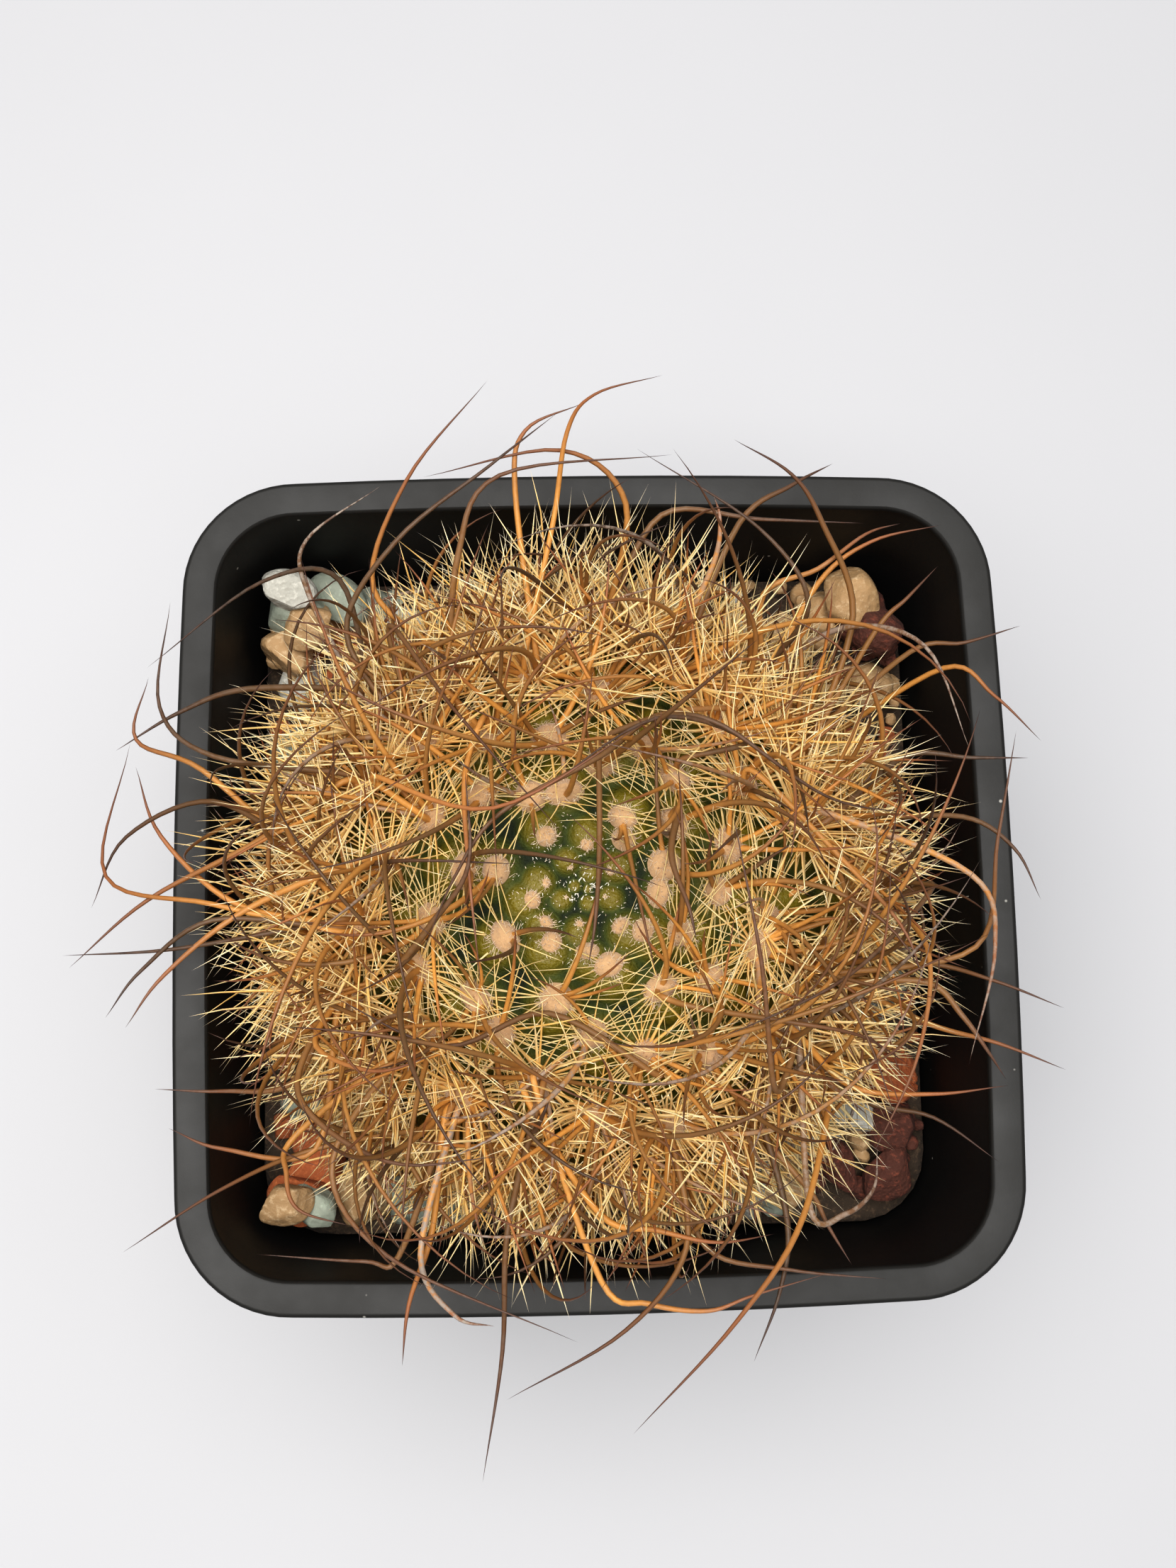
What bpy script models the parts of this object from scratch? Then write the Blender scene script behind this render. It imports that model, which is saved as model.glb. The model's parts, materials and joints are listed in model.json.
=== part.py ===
"""Potted eriosyce cactus: a square black plastic pot, the soil and gravel in it,
and one globular cactus with ribs, tubercles and a nest of curved spines.

Metres, +Z up. The origin is the middle of the flat base that the pot stands on.
"""

import math
import random

import bmesh
import bpy
import numpy as np
from mathutils import Quaternion, Vector
from mathutils.bvhtree import BVHTree

MM = 0.001
GAP = 0.3 * MM
WELD = 0.0002 * MM

# Pot: outer sizes at the rim and at the base
RIM_WIDTH = 80 * MM
RIM_CORNER = 11 * MM
RIM_FACE = 3.4 * MM
RIM_EDGE = 0.5 * MM
SIDE_BULGE = 0.5 * MM
SKIRT_DROP = 6.5 * MM
SKIRT_WALL = 1.2 * MM
POT_HEIGHT = 75 * MM
BASE_WIDTH = 60 * MM
BASE_CORNER = 8 * MM
WALL = 1.4 * MM
POT_FLOOR = 2.6 * MM
DRAIN_RADIUS = 4 * MM
DRAIN_OFFSET = 19 * MM
CHANNEL_WIDTH = 5 * MM
CHANNEL_DEPTH = 1.2 * MM

# Filling: soil below, a bed of crushed stone on top of it
SOIL_TOP = 51.5 * MM
BED_TOP = 58.6 * MM
STONE_COUNT = 100
STONE_SIZE = (2.5 * MM, 4.2 * MM)
STONE_CEILING = 61.6 * MM

# Stones heaped in three corners, outside the reach of the spines: x, y, height and size in mm
HEAPED_STONES = (
    (-29.4, 29.2, 60.4, 3.9), (-30.2, 30.0, 63.4, 3.2), (-30.8, 31.0, 66.4, 2.8),
    (-28.9, 28.2, 64.6, 2.7), (-31.3, 26.4, 61.8, 3.0), (-26.2, 31.2, 62.0, 3.2),
    (-30.1, -30.1, 60.8, 3.0), (-31.0, -30.6, 64.2, 2.5), (-28.6, -31.2, 61.9, 2.6),
    (29.6, 29.8, 60.2, 3.6), (28.2, 30.6, 62.4, 3.4), (31.2, 27.4, 61.9, 3.0),
)

# Plant: a flattened globe on a short neck and taproot, a little off the pot's middle
PLANT_X = -1.7 * MM
PLANT_Y = -2.0 * MM
BODY_RADIUS = 24.5 * MM
BODY_MIDDLE = 70 * MM
CROWN_RISE = 17 * MM
UNDERSIDE_DROP = 11 * MM
CROWN_DIMPLE = 1.2 * MM
BODY_ROWS = 20
ROOT_RADIUS = 8.5 * MM
ROOT_TIP_RADIUS = 2 * MM
ROOT_TIP_Z = 28 * MM

# Areoles follow a spiral of eight turns to twenty-one ribs
RIBS = 21
TURN = math.radians(360 * 8 / RIBS)
FIRST_AREOLE = math.radians(204)
AREOLE_START = 1.6 * MM
AREOLE_STEP = 0.34 * MM
AREOLES = 118
RIB_HEIGHT = 1.5 * MM
TUBERCLE_HEIGHT = 1.5 * MM
FIRST_SPINED_ARC = 6.5 * MM

# Crown areoles that sit a little off the spiral: distance from the crown in mm, bearing in degrees
CROWN_AREOLES = (
    (3.1, 263), (4.6, 314), (4.6, 191), (5.5, 238), (5.7, 124), (6.4, 356), (6.9, 287),
    (7.1, 60), (7.7, 167), (8.0, 211), (8.5, 100), (9.2, 335), (9.8, 35), (11.4, 81),
    (13.4, 190), (13.3, 224), (13.4, 16), (13.8, 66), (15.9, 121), (16.8, 352),
)

# Spines
RADIAL_BASE = 0.20 * MM
RADIAL_LENGTH = (9 * MM, 14 * MM)
CENTRAL_BASE = 0.30 * MM
CENTRAL_LENGTH = (20 * MM, 33 * MM)
ROOT_DEPTH = 1.2 * MM
AREOLE_RADIUS = 0.9 * MM
SPINE_CLEARANCE = 0.7 * MM
NEST_RADIUS = 36 * MM
NEST_TOP = 103 * MM
SPINE_SPACING = 0.66 * MM
SPACING_FREE_STRETCH = 2.5 * MM
TRIES = 40

# The long spines were drawn on a plan 15 mm above the rim, looked at from this point over the pot
VIEW_X = -6.6
VIEW_Y = -16.6
VIEW_HEIGHT = 167.7
PLAN_HEIGHT = 15.0

# Each long spine: where it leaves the body, then plan points with their height above the rim (mm)
LONG_SPINES = (
    # Over the top side
    ((-16, 17), (-20, 25, 9), (-17, 35, 15), (-9.5, 44.5, 19)),
    ((-4, 21), (-3.8, 31, 11), (-2.4, 39.4, 15), (0.2, 43, 18), (6.5, 44.8, 20)),
    ((-7, 21), (-7.2, 34, 12), (-6.2, 39.6, 14), (-0.8, 42.2, 15)),
    ((-19, 12), (-22.4, 21, 13), (-18, 29.3, 17), (-9.5, 36.3, 18), (-3.2, 41.3, 17)),
    ((-11, 18), (-12.4, 28, 13), (-8.6, 35.4, 16), (7.2, 37.2, 15)),
    ((4, 21), (2.8, 32.6, 10), (-3, 37.7, 13), (-15.5, 35.3, 13)),
    ((-20, 15), (-25.7, 24.4, 8), (-26, 29.5, 11), (-19.2, 34.6, 14)),
    ((7, 20), (13, 30.6, 9), (18, 34.2, 9), (21.8, 36.2, 8)),
    ((18, 14), (23, 22, 8), (20.6, 30.6, 12), (18, 35.2, 14), (12.8, 38.6, 15)),
    ((16, 14), (19, 23, 11), (14.8, 30.2, 13), (3.9, 37.8, 14)),
    ((0, 22), (6, 31.5, 6), (15, 31, 8), (24.6, 30.5, 8)),
    ((10, 19), (10.6, 27, 14), (11.3, 31, 16), (10.8, 33.3, 16)),
    # Over the left side
    ((-17, 18), (-23, 25.8, 10), (-30, 25.7, 14), (-40, 18, 17)),
    ((-22, 7), (-34, 10, 11), (-38.8, 14.5, 14), (-38, 24, 17)),
    ((-23, 4), (-35, 8.8, 8), (-40.8, 11.6, 11), (-39.8, 17.2, 12)),
    ((-20, 12), (-31, 16, 8), (-37, 14, 10), (-42.6, 10.6, 11)),
    ((-22, -3), (-34, -3, 9), (-43.2, -0.4, 14), (-41.3, 11.3, 18)),
    ((-23, 3), (-34, 6, 10), (-41.5, 3, 13), (-44.4, -3.2, 14)),
    ((-21, -6), (-32, -3, 8), (-38.5, 3, 10), (-40.8, 9.2, 10)),
    ((-23, 5), (-30, 2.5, 8), (-39.5, -2.5, 11), (-46.2, -8.3, 12)),
    ((-22, -6), (-29, -5.6, 8), (-38, -6.9, 10), (-46.8, -7.2, 11)),
    ((-23, -1), (-34, -4.4, 9), (-40, -8.6, 11), (-43, -12.6, 11)),
    ((-22, 1), (-31, -3.5, 9), (-38, -9, 10), (-41.3, -13.5, 10)),
    ((-20, -12), (-27, -18.4, 4), (-33, -19, 6), (-38.7, -18.7, 7)),
    ((-16, -19), (-25, -24, 6), (-33, -27.2, 10), (-41.2, -32.2, 13)),
    # Over the bottom side
    ((-18, -16), (-23.6, -25, 9), (-19, -33, 12), (-3, -40.5, 15)),
    ((-10, -20), (-15.2, -31, 8), (-17.2, -37, 10), (-17.8, -42, 11)),
    ((-8, -21), (-8.8, -31, 9), (-9.4, -41, 14), (-11.2, -51.5, 17)),
    ((7, -20), (6.3, -33, 10), (1, -39.6, 13), (-9.2, -45, 15)),
    ((17, -17), (16.4, -30.6, 14), (10.5, -39, 19), (1.4, -48, 22)),
    ((14, -19), (15, -31, 6), (14.2, -36.6, 7), (11.7, -42.5, 7)),
    ((3, -21), (8, -33, 6), (15, -35, 8), (23.5, -36, 9)),
    ((-14, -19), (-16.2, -33, 10), (-13.4, -38, 13), (-10, -39, 15)),
    # Over the right side
    ((12, 17), (22, 20.8, 9), (29.4, 19, 15), (33, 9.3, 16)),
    ((20, 13), (31, 17, 6), (35.4, 14.4, 8), (39.4, 10.2, 9)),
    ((20, -8), (32.5, -8, 7), (35, 1.6, 12), (37.2, 11.2, 14)),
    ((22, 4), (32, 3.5, 6), (36.4, 0.6, 8), (38.5, -4, 9)),
    ((22, 3), (32.4, -1.6, 9), (34.2, -8, 12), (31.3, -18.2, 15)),
    ((21, -6), (28, -9.4, 2), (34, -11, 4), (40, -13.5, 5)),
    ((19, -11), (28, -14.6, 2), (34, -16.4, 4), (39.8, -18.8, 5)),
    ((15, -17), (21, -19.8, 5), (28, -20.6, 7), (34.8, -20, 8)),
    ((15, -18), (22, -21, 3), (28, -22.6, 4), (33.5, -26.5, 5)),
    ((21, 5), (27, 9, 3), (33, 8.8, 4), (38.2, 8.7, 5)),
    ((19, 13), (28, 18.5, 3), (33, 19.3, 4), (38.2, 20.8, 5)),
    ((13, 17), (20, 25, 3), (25, 28.8, 4), (31.5, 30.3, 5)),
    ((22, -2), (28.2, -8, 12), (27, -17, 16), (22.4, -26, 17)),
    # Curled over the crown
    ((-20, -10), (-25, -15.4, 12), (-20, -17.6, 17), (-14.5, -16.2, 19)),
    ((-21, -9), (-26.5, -19.5, 11), (-19, -25.2, 15), (-9, -25, 17)),
    ((-17, 8), (-20, 8, 16), (-9.5, 5, 24), (5, 13, 27)),
    ((-16, -9), (-15, -5, 17), (-11.8, 0, 21), (-12, 8.5, 22)),
    ((9, 10), (13, 10.6, 16), (5, 12.8, 21), (-6, 6, 24)),
    ((16, 7), (21, 0, 14), (26, -6, 17), (27.8, -11, 17)),
    ((22, 0), (29, -2.6, 11), (21, -10.4, 18), (9, -15.8, 22)),
    ((14, -14), (14.4, -20, 15), (13.6, -9, 22), (11.5, 4.5, 25)),
    ((-14, 13), (-18.6, 21.6, 14), (-13, 14, 20), (-3, 2, 24)),
    ((4, -18), (-5, -13, 14), (-14, -15.6, 17), (-24, -11, 19)),
)


def remove_everything():
    """Start from an empty scene."""
    for thing in list(bpy.data.objects):
        bpy.data.objects.remove(thing)


def new_collection(name):
    """A collection linked to the scene."""
    collection = bpy.data.collections.new(name)
    bpy.context.scene.collection.children.link(collection)
    return collection


def new_material(name, colour, roughness):
    """A Principled material with one colour and roughness."""
    material = bpy.data.materials.new(name)
    material.use_nodes = True
    shader = material.node_tree.nodes["Principled BSDF"]
    shader.inputs["Base Color"].default_value = (*colour, 1)
    shader.inputs["Roughness"].default_value = roughness
    shader.inputs["Metallic"].default_value = 0
    return material


def object_from(bm, name, collection, material=None):
    """Turn a bmesh into a named object in a collection."""
    mesh = bpy.data.meshes.new(name)
    bm.to_mesh(mesh)
    bm.free()
    thing = bpy.data.objects.new(name, mesh)
    collection.objects.link(thing)
    if material is not None:
        mesh.materials.append(material)
    return thing


def loft(rings):
    """A closed body through rings of points; a last ring of one point closes in a tip."""
    bm = bmesh.new()
    layers = []
    for ring in rings:
        layers.append([bm.verts.new(point) for point in ring])
    for lower, upper in zip(layers, layers[1:]):
        count = len(lower)
        for i in range(count):
            j = (i + 1) % count
            if len(upper) == 1:
                bm.faces.new((lower[i], lower[j], upper[0]))
            else:
                bm.faces.new((lower[i], lower[j], upper[j], upper[i]))
    bm.faces.new(list(reversed(layers[0])))
    if len(layers[-1]) > 2:
        bm.faces.new(layers[-1])
    return bm


def use_boolean(thing, operation, collection, solver="EXACT"):
    """Join or cut an object with everything in a collection."""
    modifier = thing.modifiers.new(operation.title(), "BOOLEAN")
    modifier.operation = operation
    modifier.operand_type = "COLLECTION"
    modifier.collection = collection
    modifier.solver = solver
    return modifier


def apply_modifiers(thing):
    """Replace an object's mesh by its evaluated mesh."""
    graph = bpy.context.evaluated_depsgraph_get()
    mesh = bpy.data.meshes.new_from_object(thing.evaluated_get(graph))
    thing.modifiers.clear()
    thing.data = mesh


def remove_collection(collection):
    """Remove a collection with all that is in it."""
    for thing in list(collection.objects):
        bpy.data.objects.remove(thing)
    bpy.data.collections.remove(collection)


def tidy_union(thing):
    """Make a union's mesh plain triangles, and keep only its largest connected body."""
    bm = bmesh.new()
    bm.from_mesh(thing.data)
    bmesh.ops.remove_doubles(bm, verts=bm.verts[:], dist=WELD)
    bmesh.ops.triangulate(bm, faces=bm.faces[:])
    bm.verts.ensure_lookup_table()
    unseen = set(range(len(bm.verts)))
    groups = []
    while unseen:
        first = min(unseen)
        unseen.remove(first)
        stack = [bm.verts[first]]
        group = list(stack)
        while stack:
            vertex = stack.pop()
            for edge in vertex.link_edges:
                other = edge.other_vert(vertex)
                if other.index in unseen:
                    unseen.remove(other.index)
                    stack.append(other)
                    group.append(other)
        groups.append(group)
    groups.sort(key=len)
    for group in groups[:-1]:
        bmesh.ops.delete(bm, geom=group, context="VERTS")
    bm.to_mesh(thing.data)
    bm.free()


def hide_cutters(collection):
    """Cutters shape other objects and are not parts."""
    for cutter in collection.objects:
        cutter.hide_render = True
        cutter.display_type = "WIRE"


# Pot

def rounded_square(width, corner, height, bulge=0.0, arc_steps=5):
    """One ring of points round a square with round corners and slightly bowed sides."""
    half = width / 2
    straight = half - corner
    ring = []
    for side in range(4):
        turn = Quaternion((0, 0, 1), math.radians(90 * side))
        for step in (-0.45, 0.45):
            out = half + bulge * (1 - step * step)
            ring.append(turn @ Vector((out, step * straight, height)))
        for step in range(arc_steps + 1):
            angle = math.radians(90 * step / arc_steps)
            x = straight + corner * math.cos(angle)
            y = straight + corner * math.sin(angle)
            ring.append(turn @ Vector((x, y, height)))
    return ring


def wall_share(height):
    """How far up the wall a height is, from 0 at the base to 1 at the rim."""
    return height / POT_HEIGHT


def outer_width(height):
    """The wall's outer width, which grows from the base to the rim."""
    top = RIM_WIDTH - 2 * (RIM_FACE - WALL)
    return BASE_WIDTH + (top - BASE_WIDTH) * wall_share(height)


def inner_width(height):
    """The width of the space inside the wall."""
    return outer_width(height) - 2 * WALL


def wall_ring(width, height):
    """A ring on the wall, whose corner and bowing grow with the height."""
    share = wall_share(height)
    top_corner = RIM_CORNER - (RIM_FACE - WALL)
    corner = BASE_CORNER + (top_corner - BASE_CORNER) * share
    corner -= (outer_width(height) - width) / 2
    return rounded_square(width, corner, height, SIDE_BULGE * share)


def drain_cutters(collection):
    """Four drain holes, each with a channel that leads the water to the side."""
    for side in range(4):
        turn = Quaternion((0, 0, 1), math.radians(90 * side))
        hole = bmesh.new()
        bmesh.ops.create_cone(
            hole, cap_ends=True, segments=16, radius1=DRAIN_RADIUS, radius2=DRAIN_RADIUS,
            depth=4 * POT_FLOOR,
        )
        cutter = object_from(hole, f"drain_hole_{side}", collection)
        cutter.location = turn @ Vector((DRAIN_OFFSET, 0, 0))
        channel = bmesh.new()
        bmesh.ops.create_cube(channel, size=1)
        cutter = object_from(channel, f"drain_channel_{side}", collection)
        length = BASE_WIDTH / 2 - DRAIN_OFFSET + 2 * MM
        cutter.scale = (length, CHANNEL_WIDTH, 2 * CHANNEL_DEPTH)
        cutter.rotation_euler.z = math.radians(90 * side)
        cutter.location = turn @ Vector((DRAIN_OFFSET + length / 2, 0, 0))


def build_pot(parts, material):
    """The moulded pot: tapered wall, folded rim with its skirt, floor and drains."""
    skirt_z = POT_HEIGHT - SKIRT_DROP
    under_rim_z = POT_HEIGHT - WALL
    skirt_taper = 0.8 * MM
    rings = [
        wall_ring(BASE_WIDTH - 1.6 * MM, 0),
        wall_ring(outer_width(0.8 * MM), 0.8 * MM),
        wall_ring(outer_width(skirt_z), skirt_z),
        wall_ring(outer_width(under_rim_z), under_rim_z),
        wall_ring(RIM_WIDTH - 2 * SKIRT_WALL, under_rim_z),
        wall_ring(RIM_WIDTH - 2 * SKIRT_WALL - skirt_taper, skirt_z),
        wall_ring(RIM_WIDTH - skirt_taper, skirt_z),
        wall_ring(RIM_WIDTH, POT_HEIGHT - RIM_EDGE),
        wall_ring(RIM_WIDTH - RIM_EDGE, POT_HEIGHT),
        wall_ring(inner_width(POT_HEIGHT) + RIM_EDGE, POT_HEIGHT),
        wall_ring(inner_width(POT_HEIGHT), POT_HEIGHT - RIM_EDGE),
        wall_ring(inner_width(POT_FLOOR), POT_FLOOR),
    ]
    pot = object_from(loft(rings), "pot", parts, material)
    cutters = new_collection("drain_cutters")
    drain_cutters(cutters)
    hide_cutters(cutters)
    use_boolean(pot, "DIFFERENCE", cutters)
    return pot


# Soil and gravel

def filling(name, low, high, parts, material):
    """A layer that fills the pot from one height to another, clear of the wall."""
    rings = [
        wall_ring(inner_width(low) - 2 * GAP, low),
        wall_ring(inner_width(high) - 2 * GAP, high),
    ]
    return object_from(loft(rings), name, parts, material)


def root_cone(name, collection, spare, sides=24):
    """The neck and taproot as one cone; a larger one cuts the hole that it stands in."""
    top_z = BODY_MIDDLE
    slope = (ROOT_RADIUS - ROOT_TIP_RADIUS) / (BED_TOP - ROOT_TIP_Z)
    low_z = ROOT_TIP_Z - spare
    low_radius = ROOT_TIP_RADIUS + spare
    high_radius = ROOT_RADIUS + spare + slope * (top_z - BED_TOP)
    bm = bmesh.new()
    bmesh.ops.create_cone(
        bm, cap_ends=True, segments=sides, radius1=low_radius, radius2=high_radius,
        depth=top_z - low_z,
    )
    cone = object_from(bm, name, collection)
    cone.location = (PLANT_X, PLANT_Y, (top_z + low_z) / 2)
    return cone


def inside_pot(x, y, z, margin):
    """Whether a point is inside the pot's wall by at least a margin."""
    half = inner_width(z) / 2 - margin
    corner = max(RIM_CORNER - RIM_FACE - margin, 1 * MM)
    over_x = max(abs(x) - (half - corner), 0)
    over_y = max(abs(y) - (half - corner), 0)
    return math.hypot(over_x, over_y) <= corner


def underside(distance):
    """The height of the body's lower surface at a distance from the plant's axis."""
    share = min(distance / BODY_RADIUS, 1)
    return BODY_MIDDLE - UNDERSIDE_DROP * math.sqrt(1 - share * share)


def stone_places():
    """Seeded places for the top stones, none too near another: x, y and size."""
    draw = random.Random("stones")
    places = []
    tries = 0
    while len(places) < STONE_COUNT and tries < 6000:
        tries += 1
        size = draw.uniform(*STONE_SIZE)
        x = draw.uniform(-1, 1) * inner_width(BED_TOP) / 2
        y = draw.uniform(-1, 1) * inner_width(BED_TOP) / 2
        if not inside_pot(x, y, BED_TOP, size * 1.15 + GAP):
            continue
        if math.hypot(x - PLANT_X, y - PLANT_Y) < 22 * MM:
            continue
        if all(math.hypot(x - a, y - b) > 0.78 * (size + c) for a, b, c in places):
            places.append((x, y, size))
    return places


def resting_height(x, y, size, flat):
    """The height of a stone on the bed, under the spines and the plant's body."""
    ceiling = STONE_CEILING
    distance = math.hypot(x - PLANT_X, y - PLANT_Y) - size
    if distance < BODY_RADIUS:
        ceiling = min(ceiling, underside(distance) - RIB_HEIGHT - TUBERCLE_HEIGHT)
    return min(BED_TOP + 0.35 * flat, ceiling - 1.15 * flat)


def add_stone(number, x, y, size, stones, height=None):
    """One angular stone, flattened and turned, on the bed unless a height is given."""
    draw = random.Random(f"stone-{number}")
    flat = size * draw.uniform(0.7, 0.85)
    bm = bmesh.new()
    bmesh.ops.create_icosphere(bm, subdivisions=1, radius=1)
    for vertex in bm.verts:
        vertex.co *= draw.uniform(0.86, 1.1)
    stone = object_from(bm, f"stone_{number}", stones)
    stone.scale = (size, size * draw.uniform(0.72, 0.9), flat)
    stone.rotation_euler = (draw.uniform(-0.2, 0.2), draw.uniform(-0.2, 0.2), draw.uniform(0, 6.28))
    stone.location = (x, y, height or resting_height(x, y, size, flat))


def build_gravel(parts, material):
    """The bed of crushed stone: angular stones stand out of it, fused to one body."""
    gravel = filling("gravel", SOIL_TOP + GAP, BED_TOP, parts, material)
    stones = new_collection("stones")
    for number, (x, y, size) in enumerate(stone_places()):
        add_stone(number, x, y, size, stones)
    for number, (x, y, height, size) in enumerate(HEAPED_STONES, STONE_COUNT):
        add_stone(number, x * MM, y * MM, size * MM, stones, height * MM)
    use_boolean(gravel, "UNION", stones)
    apply_modifiers(gravel)
    remove_collection(stones)
    tidy_union(gravel)
    return gravel


# Plant

def profile(polar):
    """A point of the smooth body in its half plane: distance from the axis and height."""
    rise = CROWN_RISE if polar < math.pi / 2 else UNDERSIDE_DROP
    return BODY_RADIUS * math.sin(polar), BODY_MIDDLE + rise * math.cos(polar)


def polar_at(arc):
    """The polar angle that lies an arc length away from the crown."""
    step = math.radians(0.5)
    polar = 0.0
    while arc > 0:
        near = profile(polar)
        far = profile(polar + step)
        arc -= math.hypot(far[0] - near[0], far[1] - near[1])
        polar += step
    return polar


def smooth_point(azimuth, polar):
    """A point of the smooth body, and its outward normal."""
    out, height = profile(polar)
    rise = CROWN_RISE if polar < math.pi / 2 else UNDERSIDE_DROP
    normal = Vector((
        math.sin(polar) * rise * math.cos(azimuth),
        math.sin(polar) * rise * math.sin(azimuth),
        math.cos(polar) * BODY_RADIUS,
    )).normalized()
    point = Vector((PLANT_X + out * math.cos(azimuth), PLANT_Y + out * math.sin(azimuth), height))
    return point, normal


def areole_places():
    """Azimuth, polar angle and arc from the crown of every areole, youngest first."""
    spiral = []
    for number in range(AREOLES):
        arc = AREOLE_START + AREOLE_STEP * number
        azimuth = FIRST_AREOLE + TURN * number
        spiral.append([arc * math.cos(azimuth), arc * math.sin(azimuth)])
    for distance, bearing in CROWN_AREOLES:
        x = distance * MM * math.cos(math.radians(bearing))
        y = distance * MM * math.sin(math.radians(bearing))
        nearest = min(spiral, key=lambda place: math.hypot(place[0] - x, place[1] - y))
        nearest[:] = [x, y]
    places = []
    for x, y in spiral:
        arc = math.hypot(x, y)
        places.append((math.atan2(y, x), polar_at(arc), arc))
    return places


def relief(point, azimuth, polar, tubercles):
    """How far the body stands out at a point: ribs, the tubercles on them, the crown's dimple."""
    arc = math.hypot(*(point - Vector((PLANT_X, PLANT_Y, BODY_MIDDLE + CROWN_RISE))).xy)
    rib_share = min(max((arc - 10 * MM) / (8 * MM), 0), 1) * max(math.sin(polar), 0) ** 0.5
    rib = 0.5 + 0.5 * math.cos(RIBS * (azimuth - FIRST_AREOLE))
    height = RIB_HEIGHT * rib_share * rib
    bump = 0.0
    for place, reach in tubercles:
        near = 1 - (point - place).length_squared / (reach * reach)
        bump = max(bump, near)
    height += TUBERCLE_HEIGHT * max(bump, 0) ** 0.7
    height -= CROWN_DIMPLE * math.exp(-((arc / (4 * MM)) ** 2))
    if polar > math.radians(140):
        height = 0
    return height


def tubercle_list(areoles):
    """The point and reach of each tubercle, which grow from the crown outwards."""
    tubercles = []
    for azimuth, polar, arc in areoles:
        place, _ = smooth_point(azimuth, polar)
        reach = min(1.7 * MM + 0.16 * arc, 4.4 * MM)
        tubercles.append((place, reach))
    return tubercles


def build_body(tubercles, parts, material):
    """The green body: rings from the underside to the crown, raised by the relief."""
    rings = []
    for row in range(BODY_ROWS):
        polar = math.pi * (1 - (row + 0.5) / BODY_ROWS)
        ring = []
        for column in range(2 * RIBS):
            azimuth = FIRST_AREOLE + math.pi * column / RIBS
            point, normal = smooth_point(azimuth, polar)
            ring.append(point + normal * relief(point, azimuth, polar, tubercles))
        rings.append(ring)
    crown, normal = smooth_point(0, 0)
    rings.append([crown + normal * relief(crown, 0, 0, tubercles)])
    return object_from(loft(rings), "cactus", parts, material)


def areole_frame(azimuth, polar, surface):
    """The areole's point on the body, with its normal, up-rib and sideways directions."""
    point, normal = smooth_point(azimuth, polar)
    reach = 2 * (RIB_HEIGHT + TUBERCLE_HEIGHT)
    point = surface.ray_cast(point + normal * reach, -normal)[0]
    sideways = Vector((-math.sin(azimuth), math.cos(azimuth), 0))
    return point, normal, sideways.cross(normal), sideways


def arc_path(start, direction, axis, bend, length, steps):
    """A needle's line that turns steadily about an axis."""
    points = [start]
    for step in range(steps):
        turn = Quaternion(axis, bend * (step + 0.5) / steps)
        points.append(points[-1] + turn @ direction * (length / steps))
    return points


def spline_path(knots, steps):
    """A smooth line through a few points, with the same number of steps between each pair."""
    line = [knots[0]]
    padded = [2 * knots[0] - knots[1], *knots, 2 * knots[-1] - knots[-2]]
    for a, b, c, d in zip(padded, padded[1:], padded[2:], padded[3:]):
        for step in range(1, steps + 1):
            t = step / steps
            line.append(0.5 * (
                2 * b + (c - a) * t + (2 * a - 5 * b + 4 * c - d) * t ** 2
                + (3 * b - a - 3 * c + d) * t ** 3
            ))
    return line


def is_clear(points):
    """Whether a spine's free part passes clear of the gravel and the pot, within the nest."""
    middle = Vector((PLANT_X, PLANT_Y))
    for before, after in zip(points[1:], points[2:]):
        for share in (0.5, 1.0):
            point = before.lerp(after, share)
            if point.z < STONE_CEILING + SPINE_CLEARANCE or point.z > NEST_TOP:
                return False
            if (point.xy - middle).length > NEST_RADIUS:
                return False
            if point.z > POT_HEIGHT + SPINE_CLEARANCE:
                continue
            if not inside_pot(point.x, point.y, point.z, SPINE_CLEARANCE):
                return False
    return True


class Nest:
    """Points along the spines placed so far, so that the next ones pass beside them."""

    def __init__(self):
        self.placed = np.empty((0, 3))

    def samples(self, points):
        """Points along the free part of a spine, one for every half millimetre."""
        samples = []
        for before, after in zip(points[1:], points[2:]):
            count = max(int((after - before).length / (0.5 * MM)), 1)
            samples += [before.lerp(after, i / count) for i in range(count)]
        samples.append(points[-1])
        return np.array([tuple(point) for point in samples])

    def has_room(self, points):
        """Whether a spine keeps its spacing to the others, apart from its first stretch."""
        samples = self.samples(points)
        free = samples[np.linalg.norm(samples - samples[0], axis=1) > SPACING_FREE_STRETCH]
        if not len(free) or not len(self.placed):
            return True
        steps = free[:, None, :] - self.placed[None, :, :]
        return np.min(np.einsum("ijk,ijk->ij", steps, steps)) > SPINE_SPACING ** 2

    def add(self, points):
        """Remember a spine."""
        self.placed = np.vstack((self.placed, self.samples(points)))


def needle(points, radius, name, collection):
    """A three-sided needle along a line, thickest near its root and sharp at its tip."""
    rings = []
    last = len(points) - 1
    side = None
    for i, point in enumerate(points[:-1]):
        ahead = (points[i + 1] - points[max(i - 1, 0)]).normalized()
        if side is None:
            side = ahead.orthogonal().normalized()
        side = (side - ahead * side.dot(ahead)).normalized()
        other = ahead.cross(side)
        width = radius * (1 - (i / last) ** 1.6) + 0.03 * MM
        rings.append([
            point + (side * math.cos(angle) + other * math.sin(angle)) * width
            for angle in (0, 2 * math.pi / 3, 4 * math.pi / 3)
        ])
    rings.append([points[-1]])
    return object_from(loft(rings), name, collection)


def lifted(direction, normal, degrees):
    """A direction turned towards the normal."""
    lift = math.radians(degrees)
    flat = (direction - normal * direction.dot(normal)).normalized()
    return flat * math.cos(lift) + normal * math.sin(lift)


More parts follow.
